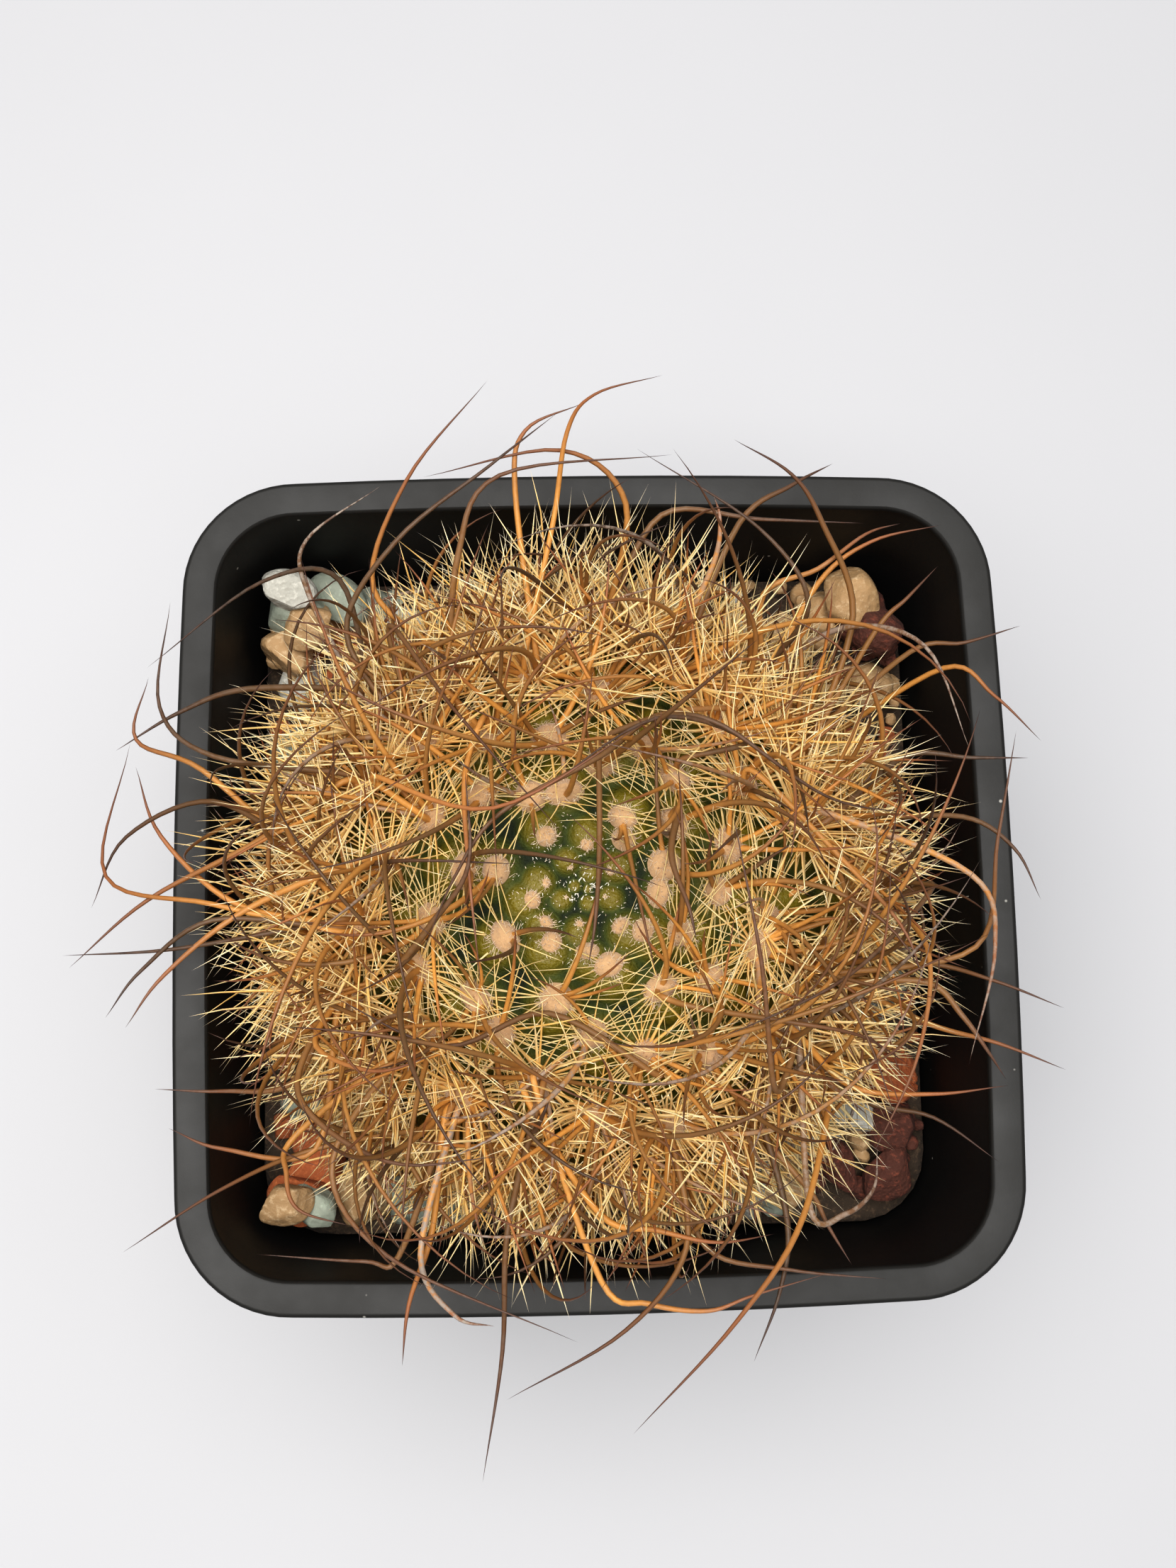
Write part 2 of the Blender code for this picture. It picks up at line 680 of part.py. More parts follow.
def add_radials(number, frame, arc, spines, nest):
    """Two or three of an areole's side spines, spread round it low over the body."""
    point, normal, upward, sideways = frame
    count = 3 if number % 2 else 2
    for i in range(count):
        draw = random.Random(f"radial-{number}-{i}")
        for _ in range(TRIES):
            angle = 2 * math.pi * (i + draw.uniform(0.1, 0.9)) / count
            flat = upward * math.cos(angle) + sideways * math.sin(angle)
            length = draw.uniform(*RADIAL_LENGTH) * min(1, 0.35 + arc / (28 * MM))
            direction = lifted(flat, normal, draw.uniform(18, 60))
            start = point + flat * AREOLE_RADIUS
            points = [start - normal * ROOT_DEPTH, start, start + direction * length]
            if is_clear(points) and nest.has_room(points):
                needle(points, RADIAL_BASE, f"radial_{number}_{i}", spines)
                nest.add(points)
                break


def add_central(number, frame, arc, spines, nest):
    """One long middle spine, which bends sideways and back over the plant."""
    point, normal, upward, sideways = frame
    draw = random.Random(f"central-{number}")
    for _ in range(TRIES):
        length = draw.uniform(*CENTRAL_LENGTH) * min(1, 0.3 + arc / (26 * MM))
        swing = draw.uniform(0, 2 * math.pi)
        flat = upward * math.cos(swing) + sideways * math.sin(swing)
        direction = lifted(flat, normal, draw.uniform(50, 85))
        axis = direction.cross(upward + sideways * draw.uniform(-1.2, 1.2)).normalized()
        bend = math.radians(draw.uniform(40, 95))
        points = [point - normal * ROOT_DEPTH, *arc_path(point, direction, axis, bend, length, 5)]
        if is_clear(points) and nest.has_room(points):
            needle(points, CENTRAL_BASE, f"central_{number}", spines)
            nest.add(points)
            break


def from_plan(x, y, height):
    """A point drawn on the plan, moved along the line of sight to its height above the rim."""
    share = (VIEW_HEIGHT - height) / (VIEW_HEIGHT - PLAN_HEIGHT)
    return Vector((
        (VIEW_X + (x - VIEW_X) * share) * MM,
        (VIEW_Y + (y - VIEW_Y) * share) * MM,
        POT_HEIGHT + height * MM,
    ))


def add_long_spines(frames, spines, nest):
    """The long curved spines that give the nest its outline, each from an upper areole."""
    upper = [frame for frame in frames if frame[0].z > BODY_MIDDLE]
    for number, (root, *knots) in enumerate(LONG_SPINES):
        foot = Vector((root[0] * MM, root[1] * MM))
        point, normal, upward, sideways = min(upper, key=lambda frame: (frame[0].xy - foot).length)
        angle = 2.4 * number
        point = point + (upward * math.cos(angle) + sideways * math.sin(angle)) * AREOLE_RADIUS / 2
        line = spline_path([point, point + normal * 2.5 * MM, *(from_plan(*knot) for knot in knots)], 2)
        points = [point - normal * ROOT_DEPTH, line[0], *line[3:]]
        needle(points, CENTRAL_BASE, f"long_{number}", spines)
        nest.add(points)


def build_cactus(parts, material):
    """The whole plant as it grew: body, neck, taproot and spines in one body."""
    areoles = areole_places()
    tubercles = tubercle_list(areoles)
    cactus = build_body(tubercles, parts, material)
    surface = BVHTree.FromPolygons(
        [vertex.co for vertex in cactus.data.vertices],
        [polygon.vertices for polygon in cactus.data.polygons],
    )
    spines = new_collection("spines")
    root_cone("neck_and_taproot", spines, 0)
    spined = [
        (number, areole_frame(azimuth, polar, surface), arc)
        for number, (azimuth, polar, arc) in enumerate(areoles)
        if arc > FIRST_SPINED_ARC
    ]
    nest = Nest()
    add_long_spines([frame for _, frame, _ in spined], spines, nest)
    for number, frame, arc in spined:
        if number % 2 == 0:
            add_central(number, frame, arc, spines, nest)
    for number, frame, arc in spined:
        add_radials(number, frame, arc, spines, nest)
    use_boolean(cactus, "UNION", spines)
    apply_modifiers(cactus)
    remove_collection(spines)
    tidy_union(cactus)
    return cactus


def main():
    remove_everything()
    parts = new_collection("potted_eriosyce_cactus")
    black = new_material("black_polypropylene", (0.02, 0.02, 0.022), 0.55)
    earth = new_material("potting_soil", (0.05, 0.035, 0.025), 0.95)
    crushed = new_material("crushed_stone", (0.42, 0.33, 0.25), 0.85)
    green = new_material("cactus_skin", (0.19, 0.20, 0.03), 0.5)

    build_pot(parts, black)
    soil = filling("soil", POT_FLOOR + GAP, SOIL_TOP, parts, earth)
    gravel = build_gravel(parts, crushed)
    build_cactus(parts, green)

    holes = new_collection("root_hole")
    root_cone("root_hole_cutter", holes, GAP)
    hide_cutters(holes)
    use_boolean(soil, "DIFFERENCE", holes)
    use_boolean(gravel, "DIFFERENCE", holes)


main()
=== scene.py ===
"""Fine pieces for a potted eriosyce cactus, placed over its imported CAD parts.

Metres, +Z up, with the origin in the middle of the pot's flat base.
The pot, gravel and plant get finer pieces, and the soil keeps its CAD part.
"""

import json
import math
import random

import bmesh
import bpy
import numpy as np
from mathutils import Euler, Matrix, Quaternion, Vector
from mathutils.bvhtree import BVHTree

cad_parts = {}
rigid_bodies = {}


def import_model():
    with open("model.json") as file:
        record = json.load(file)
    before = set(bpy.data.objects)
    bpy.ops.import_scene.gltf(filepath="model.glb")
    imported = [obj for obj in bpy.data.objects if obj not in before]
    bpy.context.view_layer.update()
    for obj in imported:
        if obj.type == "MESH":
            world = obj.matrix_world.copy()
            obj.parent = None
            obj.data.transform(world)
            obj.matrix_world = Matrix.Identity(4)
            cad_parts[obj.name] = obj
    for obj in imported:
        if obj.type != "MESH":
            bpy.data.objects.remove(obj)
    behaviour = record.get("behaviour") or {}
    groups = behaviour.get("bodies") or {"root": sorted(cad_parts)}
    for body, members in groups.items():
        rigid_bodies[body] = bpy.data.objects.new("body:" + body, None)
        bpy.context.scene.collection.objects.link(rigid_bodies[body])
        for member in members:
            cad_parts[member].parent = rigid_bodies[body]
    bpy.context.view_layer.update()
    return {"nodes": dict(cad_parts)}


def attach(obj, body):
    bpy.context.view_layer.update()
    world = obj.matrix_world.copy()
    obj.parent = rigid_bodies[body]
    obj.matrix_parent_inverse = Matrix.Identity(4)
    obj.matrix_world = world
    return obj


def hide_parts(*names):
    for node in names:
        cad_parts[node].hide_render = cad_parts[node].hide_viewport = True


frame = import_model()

bl_info = {
    "name": "Potted Eriosyce Cactus",
    "version": (1, 0, 0),
    "blender": (4, 5, 0),
    "location": "3D View > Sidebar > Cactus",
    "description": "Builds the fine pot, gravel, body, wool and spines of a potted globular cactus",
    "category": "Add Mesh",
}

MM = 0.001

# Sizes that the CAD parts have too
GAP = 0.3 * MM
RIM_WIDTH = 80 * MM
RIM_CORNER = 11 * MM
RIM_FACE = 3.4 * MM
SIDE_BULGE = 0.5 * MM
SKIRT_DROP = 6.5 * MM
SKIRT_WALL = 1.2 * MM
SKIRT_TAPER = 0.8 * MM
POT_HEIGHT = 75 * MM
BASE_WIDTH = 60 * MM
BASE_CORNER = 8 * MM
WALL = 1.4 * MM
POT_FLOOR = 2.6 * MM
DRAIN_RADIUS = 4 * MM
DRAIN_OFFSET = 19 * MM
CHANNEL_WIDTH = 5 * MM
CHANNEL_DEPTH = 1.2 * MM
SOIL_TOP = 51.5 * MM
BED_TOP = 58.6 * MM
STONE_COUNT = 100
STONE_SIZE = (2.5 * MM, 4.2 * MM)
STONE_CEILING = 61.6 * MM
CAD_STONE_CORNERS = 12
PLANT_X = -1.7 * MM
PLANT_Y = -2.0 * MM
BODY_RADIUS = 24.5 * MM
BODY_MIDDLE = 70 * MM
CROWN_RISE = 17 * MM
UNDERSIDE_DROP = 11 * MM
CROWN_DIMPLE = 1.2 * MM
ROOT_RADIUS = 8.5 * MM
ROOT_TIP_RADIUS = 2 * MM
ROOT_TIP_Z = 28 * MM
RIBS = 21
TURN = math.radians(360 * 8 / RIBS)
FIRST_AREOLE = math.radians(204)
AREOLE_START = 1.6 * MM
AREOLE_STEP = 0.34 * MM
AREOLES = 118
RIB_HEIGHT = 1.5 * MM
TUBERCLE_HEIGHT = 1.5 * MM
NEST_RADIUS = 36 * MM
NEST_TOP = 103 * MM

# Crown areoles that sit a little off the spiral: distance from the crown in mm, bearing in degrees
CROWN_AREOLES = (
    (3.1, 263), (4.6, 314), (4.6, 191), (5.5, 238), (5.7, 124), (6.4, 356), (6.9, 287),
    (7.1, 60), (7.7, 167), (8.0, 211), (8.5, 100), (9.2, 335), (9.8, 35), (11.4, 81),
    (13.4, 190), (13.3, 224), (13.4, 16), (13.8, 66), (15.9, 121), (16.8, 352),
)

# The long spines were drawn on a plan 15 mm above the rim, looked at from this point over the pot
VIEW_X = -6.6
VIEW_Y = -16.6
VIEW_HEIGHT = 167.7
PLAN_HEIGHT = 15.0

# Each long spine: where it leaves the body, then plan points with their height above the rim (mm)
LONG_SPINES = (
    # Over the top side
    ((-16, 17), (-20, 25, 9), (-17, 35, 15), (-9.5, 44.5, 19)),
    ((-4, 21), (-3.8, 31, 11), (-2.4, 39.4, 15), (0.2, 43, 18), (6.5, 44.8, 20)),
    ((-7, 21), (-7.2, 34, 12), (-6.2, 39.6, 14), (-0.8, 42.2, 15)),
    ((-19, 12), (-22.4, 21, 13), (-18, 29.3, 17), (-9.5, 36.3, 18), (-3.2, 41.3, 17)),
    ((-11, 18), (-12.4, 28, 13), (-8.6, 35.4, 16), (7.2, 37.2, 15)),
    ((4, 21), (2.8, 32.6, 10), (-3, 37.7, 13), (-15.5, 35.3, 13)),
    ((-20, 15), (-25.7, 24.4, 8), (-26, 29.5, 11), (-19.2, 34.6, 14)),
    ((7, 20), (13, 30.6, 9), (18, 34.2, 9), (21.8, 36.2, 8)),
    ((18, 14), (23, 22, 8), (20.6, 30.6, 12), (18, 35.2, 14), (12.8, 38.6, 15)),
    ((16, 14), (19, 23, 11), (14.8, 30.2, 13), (3.9, 37.8, 14)),
    ((0, 22), (6, 31.5, 6), (15, 31, 8), (24.6, 30.5, 8)),
    ((10, 19), (10.6, 27, 14), (11.3, 31, 16), (10.8, 33.3, 16)),
    # Over the left side
    ((-17, 18), (-23, 25.8, 10), (-30, 25.7, 14), (-40, 18, 17)),
    ((-22, 7), (-34, 10, 11), (-38.8, 14.5, 14), (-38, 24, 17)),
    ((-23, 4), (-35, 8.8, 8), (-40.8, 11.6, 11), (-39.8, 17.2, 12)),
    ((-20, 12), (-31, 16, 8), (-37, 14, 10), (-42.6, 10.6, 11)),
    ((-22, -3), (-34, -3, 9), (-43.2, -0.4, 14), (-41.3, 11.3, 18)),
    ((-23, 3), (-34, 6, 10), (-41.5, 3, 13), (-44.4, -3.2, 14)),
    ((-21, -6), (-32, -3, 8), (-38.5, 3, 10), (-40.8, 9.2, 10)),
    ((-23, 5), (-30, 2.5, 8), (-39.5, -2.5, 11), (-46.2, -8.3, 12)),
    ((-22, -6), (-29, -5.6, 8), (-38, -6.9, 10), (-46.8, -7.2, 11)),
    ((-23, -1), (-34, -4.4, 9), (-40, -8.6, 11), (-43, -12.6, 11)),
    ((-22, 1), (-31, -3.5, 9), (-38, -9, 10), (-41.3, -13.5, 10)),
    ((-20, -12), (-27, -18.4, 4), (-33, -19, 6), (-38.7, -18.7, 7)),
    ((-16, -19), (-25, -24, 6), (-33, -27.2, 10), (-41.2, -32.2, 13)),
    # Over the bottom side
    ((-18, -16), (-23.6, -25, 9), (-19, -33, 12), (-3, -40.5, 15)),
    ((-10, -20), (-15.2, -31, 8), (-17.2, -37, 10), (-17.8, -42, 11)),
    ((-8, -21), (-8.8, -31, 9), (-9.4, -41, 14), (-11.2, -51.5, 17)),
    ((7, -20), (6.3, -33, 10), (1, -39.6, 13), (-9.2, -45, 15)),
    ((17, -17), (16.4, -30.6, 14), (10.5, -39, 19), (1.4, -48, 22)),
    ((14, -19), (15, -31, 6), (14.2, -36.6, 7), (11.7, -42.5, 7)),
    ((3, -21), (8, -33, 6), (15, -35, 8), (23.5, -36, 9)),
    ((-14, -19), (-16.2, -33, 10), (-13.4, -38, 13), (-10, -39, 15)),
    # Over the right side
    ((12, 17), (22, 20.8, 9), (29.4, 19, 15), (33, 9.3, 16)),
    ((20, 13), (31, 17, 6), (35.4, 14.4, 8), (39.4, 10.2, 9)),
    ((20, -8), (32.5, -8, 7), (35, 1.6, 12), (37.2, 11.2, 14)),
    ((22, 4), (32, 3.5, 6), (36.4, 0.6, 8), (38.5, -4, 9)),
    ((22, 3), (32.4, -1.6, 9), (34.2, -8, 12), (31.3, -18.2, 15)),
    ((21, -6), (28, -9.4, 2), (34, -11, 4), (40, -13.5, 5)),
    ((19, -11), (28, -14.6, 2), (34, -16.4, 4), (39.8, -18.8, 5)),
    ((15, -17), (21, -19.8, 5), (28, -20.6, 7), (34.8, -20, 8)),
    ((15, -18), (22, -21, 3), (28, -22.6, 4), (33.5, -26.5, 5)),
    ((21, 5), (27, 9, 3), (33, 8.8, 4), (38.2, 8.7, 5)),
    ((19, 13), (28, 18.5, 3), (33, 19.3, 4), (38.2, 20.8, 5)),
    ((13, 17), (20, 25, 3), (25, 28.8, 4), (31.5, 30.3, 5)),
    ((22, -2), (28.2, -8, 12), (27, -17, 16), (22.4, -26, 17)),
    # Curled over the crown
    ((-20, -10), (-25, -15.4, 12), (-20, -17.6, 17), (-14.5, -16.2, 19)),
    ((-21, -9), (-26.5, -19.5, 11), (-19, -25.2, 15), (-9, -25, 17)),
    ((-17, 8), (-20, 8, 16), (-9.5, 5, 24), (5, 13, 27)),
    ((-16, -9), (-15, -5, 17), (-11.8, 0, 21), (-12, 8.5, 22)),
    ((9, 10), (13, 10.6, 16), (5, 12.8, 21), (-6, 6, 24)),
    ((16, 7), (21, 0, 14), (26, -6, 17), (27.8, -11, 17)),
    ((22, 0), (29, -2.6, 11), (21, -10.4, 18), (9, -15.8, 22)),
    ((14, -14), (14.4, -20, 15), (13.6, -9, 22), (11.5, 4.5, 25)),
    ((-14, 13), (-18.6, 21.6, 14), (-13, 14, 20), (-3, 2, 24)),
    ((4, -18), (-5, -13, 14), (-14, -15.6, 17), (-24, -11, 19)),
)

# Finer spines of the same kind, which only the dressed model has
MORE_SPINES = (
    ((-20, 1), (-22.5, 0, 10), (-17, 0.5, 17), (-7, 0, 19)),
    ((-10, 10), (-12, 8, 14), (-11.8, 0, 19), (-10.8, -10.8, 18)),
    ((1, 8), (-0.3, 1.5, 17), (-0.8, -5, 19), (-1.5, -9, 18)),
    ((8, 15), (5, 13, 14), (0, 9.5, 19), (-9, 4.5, 21), (-13, -1, 20), (-16, -8, 17)),
    ((-1, 11), (1, 11.5, 14), (6, 13, 17), (11, 12, 19), (20, 5.5, 17), (28, 3.8, 13)),
    ((5, 4), (6, 0.5, 17), (7.4, -4, 19), (8, -7, 19)),
    ((6, -14), (8, -12.8, 14), (16, -14.2, 17), (22, -15.5, 16), (26, -18, 13)),
    ((-6, -19), (-6.5, -23, 12), (-5.6, -21.5, 15), (-5, -20, 15)),
    ((-4, -21), (-1, -35.5, 8), (3, -37.5, 9), (8, -38.2, 9), (12, -37, 9), (19, -35.2, 8)),
    ((-5, -21), (-1, -30, 9), (4, -31.5, 10), (9, -32.6, 10), (14, -32, 9)),
    ((15, -18), (17, -30, 8), (20, -30.5, 10), (22.5, -28.5, 12), (23, -25, 13)),
    ((-19, -15), (-26.7, -22.8, 8), (-27.5, -26, 10), (-26.5, -29, 11), (-22, -30.5, 11)),
    ((-13, -19), (-18, -33, 5), (-21, -33.4, 5), (-30, -32.6, 5)),
    ((-21, -13), (-25, -24, 6), (-33, -23.8, 8), (-37.5, -22, 9)),
    ((14, -19), (17, -28.5, 6), (18.5, -31.5, 7), (20.4, -34.8, 7)),
    ((13, 17), (15, 24, 8), (20, 26.3, 9), (24.5, 29.5, 9), (27.8, 30.5, 8)),
    ((19, 13), (25, 20.5, 6), (28, 23.5, 7), (31, 26.5, 7)),
    ((20, -8), (28, -11, 8), (31, -14, 9), (33, -17, 9), (34.5, -19.5, 8)),
)

# Numbers of the long spines whose bark has turned grey and flakes off
FLAKING_SPINES = (6, 11, 32, 33, 37, 66)

# Stones heaped in three corners, outside the reach of the spines: x, y, height and size in mm, and kind
HEAPED_STONES = (
    (-29.4, 29.2, 60.4, 3.9, "granite"), (-30.2, 30.0, 63.4, 3.2, "zeolite"),
    (-30.8, 31.0, 66.4, 2.8, "pumice"), (-28.9, 28.2, 64.6, 2.7, "granite"),
    (-31.3, 26.4, 61.8, 3.0, "granite"), (-26.2, 31.2, 62.0, 3.2, "zeolite"),
    (-30.1, -30.1, 60.8, 3.0, "clay"), (-31.0, -30.6, 64.2, 2.5, "granite"),
    (-28.6, -31.2, 61.9, 2.6, "zeolite"), (29.6, 29.8, 60.2, 3.6, "lava"),
    (28.2, 30.6, 62.4, 3.4, "granite"), (31.2, 27.4, 61.9, 3.0, "lava"),
)
# How the finer bed rises under those heaps: x, y, rise and reach in mm
MOUNDS = ((-30.5, 30, 5.0, 5.5), (-31, -31, 3.2, 4.0), (30, 30.5, 2.6, 5.5))

# Which stone lies where, for those that show between the spines: x and y in mm, and its kind. The dark lava stones
# at (31.5, -24.4) and (25.7, -32) are painted shade, for that corner lies in the spines' shadow
STONE_PLACES = (
    (-25, 29.5, "granite"), (-32, 25.5, "granite"), (-26.6, 27.6, "clay"), (-32, 22, "pumice"),
    (-32, 19.5, "clay"), (-31, 17, "zeolite"), (-13.3, 32, "zeolite"), (-32, -22, "clay"),
    (-30.5, -21, "zeolite"), (-30, -26, "clay"), (-32, -27, "granite"), (-28, -31, "zeolite"),
    (-24.7, -32, "granite"), (-16.2, -31, "zeolite"), (24.5, -24, "pumice"), (31.5, -24.4, "lava"),
    (28.5, -27.3, "granite"), (31, -28.9, "lava"), (25.7, -32, "lava"), (32, 7.4, "clay"),
    (32, -17.7, "clay"), (31, 31, "granite"), (31.6, 26.8, "lava"), (26.5, 30.8, "granite"),
    (22.5, 31.8, "granite"), (-29, 13, "zeolite"), (-28, -9, "pumice"), (29, -4, "granite"),
    (30, 21, "granite"), (-24.5, 31.5, "zeolite"), (-10, 33, "granite"),
)
STONE_KINDS = ("pumice", "granite", "zeolite", "clay", "lava")
STONE_SHARES = (14, 34, 18, 18, 16)


# Colour and node helpers

def linear(code):
    """A linear colour with alpha from an sRGB hex code."""
    channels = [int(code[i:i + 2], 16) / 255 for i in (1, 3, 5)]
    return (*(c / 12.92 if c <= 0.04045 else ((c + 0.055) / 1.055) ** 2.4 for c in channels), 1.0)


def colour_property(name, code, description):
    """A colour that the user can change, given as an sRGB hex code."""
    return bpy.props.FloatVectorProperty(
        name=name, description=description, subtype="COLOR", size=4, min=0, max=1,
        default=linear(code),
    )


def add_node(tree, kind, inputs=None, stops=(), **settings):
    """Add a node with its settings, its inputs (numbers or linked sockets) and a ramp's stops."""
    node = tree.nodes.new(kind)
    for name, value in settings.items():
        setattr(node, name, value)
    for key, value in (inputs or {}).items():
        if isinstance(value, bpy.types.NodeSocket):
            tree.links.new(value, node.inputs[key])
        else:
            node.inputs[key].default_value = value
    if stops:
        elements = node.color_ramp.elements
        while len(elements) < len(stops):
            elements.new(1)
        for element, (place, colour) in zip(elements, stops):
            element.position = place
            element.color = colour
    return node


def start_material(name):
    """A new material with its node tree and its Principled shader."""
    material = bpy.data.materials.new(name)
    material.use_nodes = True
    tree = material.node_tree
    return material, tree, tree.nodes["Principled BSDF"]


def per_cell(size):
    """The texture scale that makes one cell of a pattern this wide, in metres."""
    return 1 / size


def dark(colour, share):
    """A colour made darker."""
    return (*(c * share for c in colour[:3]), 1.0)


# Settings

class PotSettings(bpy.types.PropertyGroup):
    edge: bpy.props.FloatProperty(
        name="Edge rounding", description="Radius of the rim's moulded edges", default=0.5 * MM,
        min=0.05 * MM, max=0.6 * MM, unit="LENGTH",
    )
    plastic: colour_property("Plastic", "#0B0B0B", "Colour of the moulded plastic")
    # Painted light: a paler colour for the faces that look up, as if lit from above
    lit_top_plastic: colour_property("Dusty plastic", "#141310", "Colour of the plastic where dust settles on it")
    scuff: colour_property("Scuff", "#8C8A84", "Colour of specks of dust on the plastic")


class SoilSettings(bpy.types.PropertyGroup):
    peat: colour_property("Peat", "#33261B", "Colour of the damp peat")
    crumb: colour_property("Crumb", "#6A5238", "Colour of the drier crumbs")


class GravelSettings(bpy.types.PropertyGroup):
    grit_size: bpy.props.FloatProperty(
        name="Grit size", description="Radius of the fine grit between the stones",
        default=1.2 * MM, min=0.5 * MM, max=2 * MM, unit="LENGTH",
    )
    grit_count: bpy.props.IntProperty(
        name="Grit count", description="How many grains of grit lie between the stones",
        default=520, min=0, max=1500,
    )
    chip_size: bpy.props.FloatVectorProperty(
        name="Chip size", description="Smallest and largest radius of the chips under the top stones",
        size=2, default=(1.4 * MM, 2.6 * MM), min=0.5 * MM, max=4 * MM, unit="LENGTH",
    )
    chip_count: bpy.props.IntProperty(
        name="Chip count", description="How many chips lie between the top stones",
        default=260, min=0, max=800,
    )
    pumice: colour_property("Pumice", "#A6A49A", "Colour of the white pumice")
    granite: colour_property("Granite", "#A4845C", "Colour of the tan granite")
    zeolite: colour_property("Zeolite", "#868C7E", "Colour of the green-grey zeolite")
    clay: colour_property("Clay", "#98522C", "Colour of the fired clay")
    lava: colour_property("Lava", "#4C281C", "Colour of the red-brown lava stone")
    # The grit's dark brown is partly its own colour and partly painted shade between the stones
    grit_and_shade: colour_property("Fines", "#3A2E22", "Colour of the damp grit under the stones")


class BodySettings(bpy.types.PropertyGroup):
    columns: bpy.props.IntProperty(
        name="Columns", description="How many mesh columns each rib has", default=14, min=4, max=24,
    )
    rows: bpy.props.IntProperty(
        name="Rows", description="How many mesh rows the body has", default=185, min=40, max=260,
    )
    skin: colour_property("Skin", "#5E540C", "Colour of the tubercles")
    young_skin: colour_property("Young skin", "#5E5206", "Colour of the tubercles near the crown")
    # Painted shade in the furrows between tubercles
    furrow_shade: colour_property("Furrow", "#101A06", "Colour of the furrows between tubercles")


class WoolSettings(bpy.types.PropertyGroup):
    fibres: bpy.props.IntProperty(
        name="Fibres", description="How many wool fibres each areole has", default=56, min=0, max=150,
    )
    felt: colour_property("Felt", "#B4926A", "Colour of the areoles' felt")
    old_felt: colour_property("Old felt", "#A88662", "Colour of the oldest felt")
    crown_wool: colour_property("Crown wool", "#F1EEDF", "Colour of the wool in the crown's middle")


class SpineSettings(bpy.types.PropertyGroup):
    thickness: bpy.props.FloatProperty(
        name="Long spine radius", description="Radius of the long spines near their roots",
        default=0.33 * MM, min=0.1 * MM, max=0.5 * MM, unit="LENGTH",
    )
    radial_thickness: bpy.props.FloatProperty(
        name="Radial spine radius", description="Radius of the radial spines near their roots",
        default=0.16 * MM, min=0.05 * MM, max=0.3 * MM, unit="LENGTH",
    )
    radials: bpy.props.IntProperty(
        name="Radials", description="Radial spines on a grown areole", default=76, min=0, max=90,
    )
    centrals: bpy.props.IntProperty(
        name="Centrals", description="Short central spines on a grown areole", default=7, min=0, max=10,
    )
    straw_root: colour_property("Straw root", "#DEA65C", "Colour of the radial spines near their roots")
    straw_tip: colour_property("Straw tip", "#F0CE96", "Colour of the radial spines' tips")
    amber: colour_property("Amber", "#D49A50", "Colour of the central spines near their roots")
    russet: colour_property("Russet", "#8C5836", "Colour of the central spines' middles")
    horn: colour_property("Horn", "#2E2325", "Colour of the central spines' tips")
    bleached: colour_property("Bleached", "#8E8378", "Colour of weathered, flaking spine bark")
    ivory: colour_property("Ivory", "#D0B878", "Colour of the fine bristles near the crown")


class StageSettings(bpy.types.PropertyGroup):
    floor: colour_property("Floor", "#A6A6A8", "Colour of the floor")
    key_power: bpy.props.FloatProperty(
        name="Key light", description="Power of the large soft key light", default=3.75, min=0, unit="POWER",
    )
    top_power: bpy.props.FloatProperty(
        name="Top light", description="Power of the overhead light", default=6.1, min=0, unit="POWER",
    )
    surround: bpy.props.FloatProperty(
        name="Surround", description="Strength of the light from all round", default=0.4, min=0, max=5,
    )


# Mesh helpers

def loft(rings, close_start=True, close_end=True):
    """A surface through rings of points; a last ring of one point closes in a tip."""
    bm = bmesh.new()
    layers = [[bm.verts.new(point) for point in ring] for ring in rings]
    for lower, upper in zip(layers, layers[1:]):
        count = len(lower)
        for i in range(count):
            j = (i + 1) % count
            if len(upper) == 1:
                bm.faces.new((lower[i], lower[j], upper[0]))
            else:
                bm.faces.new((lower[i], lower[j], upper[j], upper[i]))
    if close_start:
        bm.faces.new(list(reversed(layers[0])))
    if close_end and len(layers[-1]) > 2:
        bm.faces.new(layers[-1])
    return bm


def link(mesh, name, material, sharp_angle=None):
    """A linked, smooth-shaded object from a mesh."""
    mesh.materials.append(material)
    mesh.shade_smooth()
    if sharp_angle is not None:
        mesh.set_sharp_from_angle(angle=math.radians(sharp_angle))
    thing = bpy.data.objects.new(name, mesh)
    bpy.context.scene.collection.objects.link(thing)
    return thing


def object_from(bm, name, material, sharp_angle=None):
    """Turn a bmesh into a linked object."""
    mesh = bpy.data.meshes.new(name)
    bm.to_mesh(mesh)
    bm.free()
    return link(mesh, name, material, sharp_angle)


def dress(piece, slot, *nodes):
    """Let a piece ride on the part, and hide the CAD nodes that it stands for; its slot is not used."""
    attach(piece, "root")
    if nodes:
        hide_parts(*nodes)
    return piece


class Bundle:
    """Many small shapes gathered into one mesh, with numbers kept for each point."""

    def __init__(self, *keys):
        self.points = []
        self.faces = []
        self.values = {key: [] for key in keys}
        self.count = 0

    def add(self, points, faces, **values):
        """Add one shape; each value is one number, or one for every point."""
        self.points.append(np.asarray(points, dtype=float))
        self.faces.extend(tuple(index + self.count for index in face) for face in faces)
        size = len(points)
        for key, value in values.items():
            self.values[key].append(np.broadcast_to(np.asarray(value, dtype=float), size))
        self.count += size

    def build(self, name, material, sharp_angle=None):
        """The gathered shapes as one linked object."""
        mesh = bpy.data.meshes.new(name)
        mesh.from_pydata(np.vstack(self.points).tolist(), [], self.faces)
        for key, value in self.values.items():
            layer = mesh.attributes.new(key, "FLOAT", "POINT")
            layer.data.foreach_set("value", np.concatenate(value).astype(np.float32))
        return link(mesh, name, material, sharp_angle)


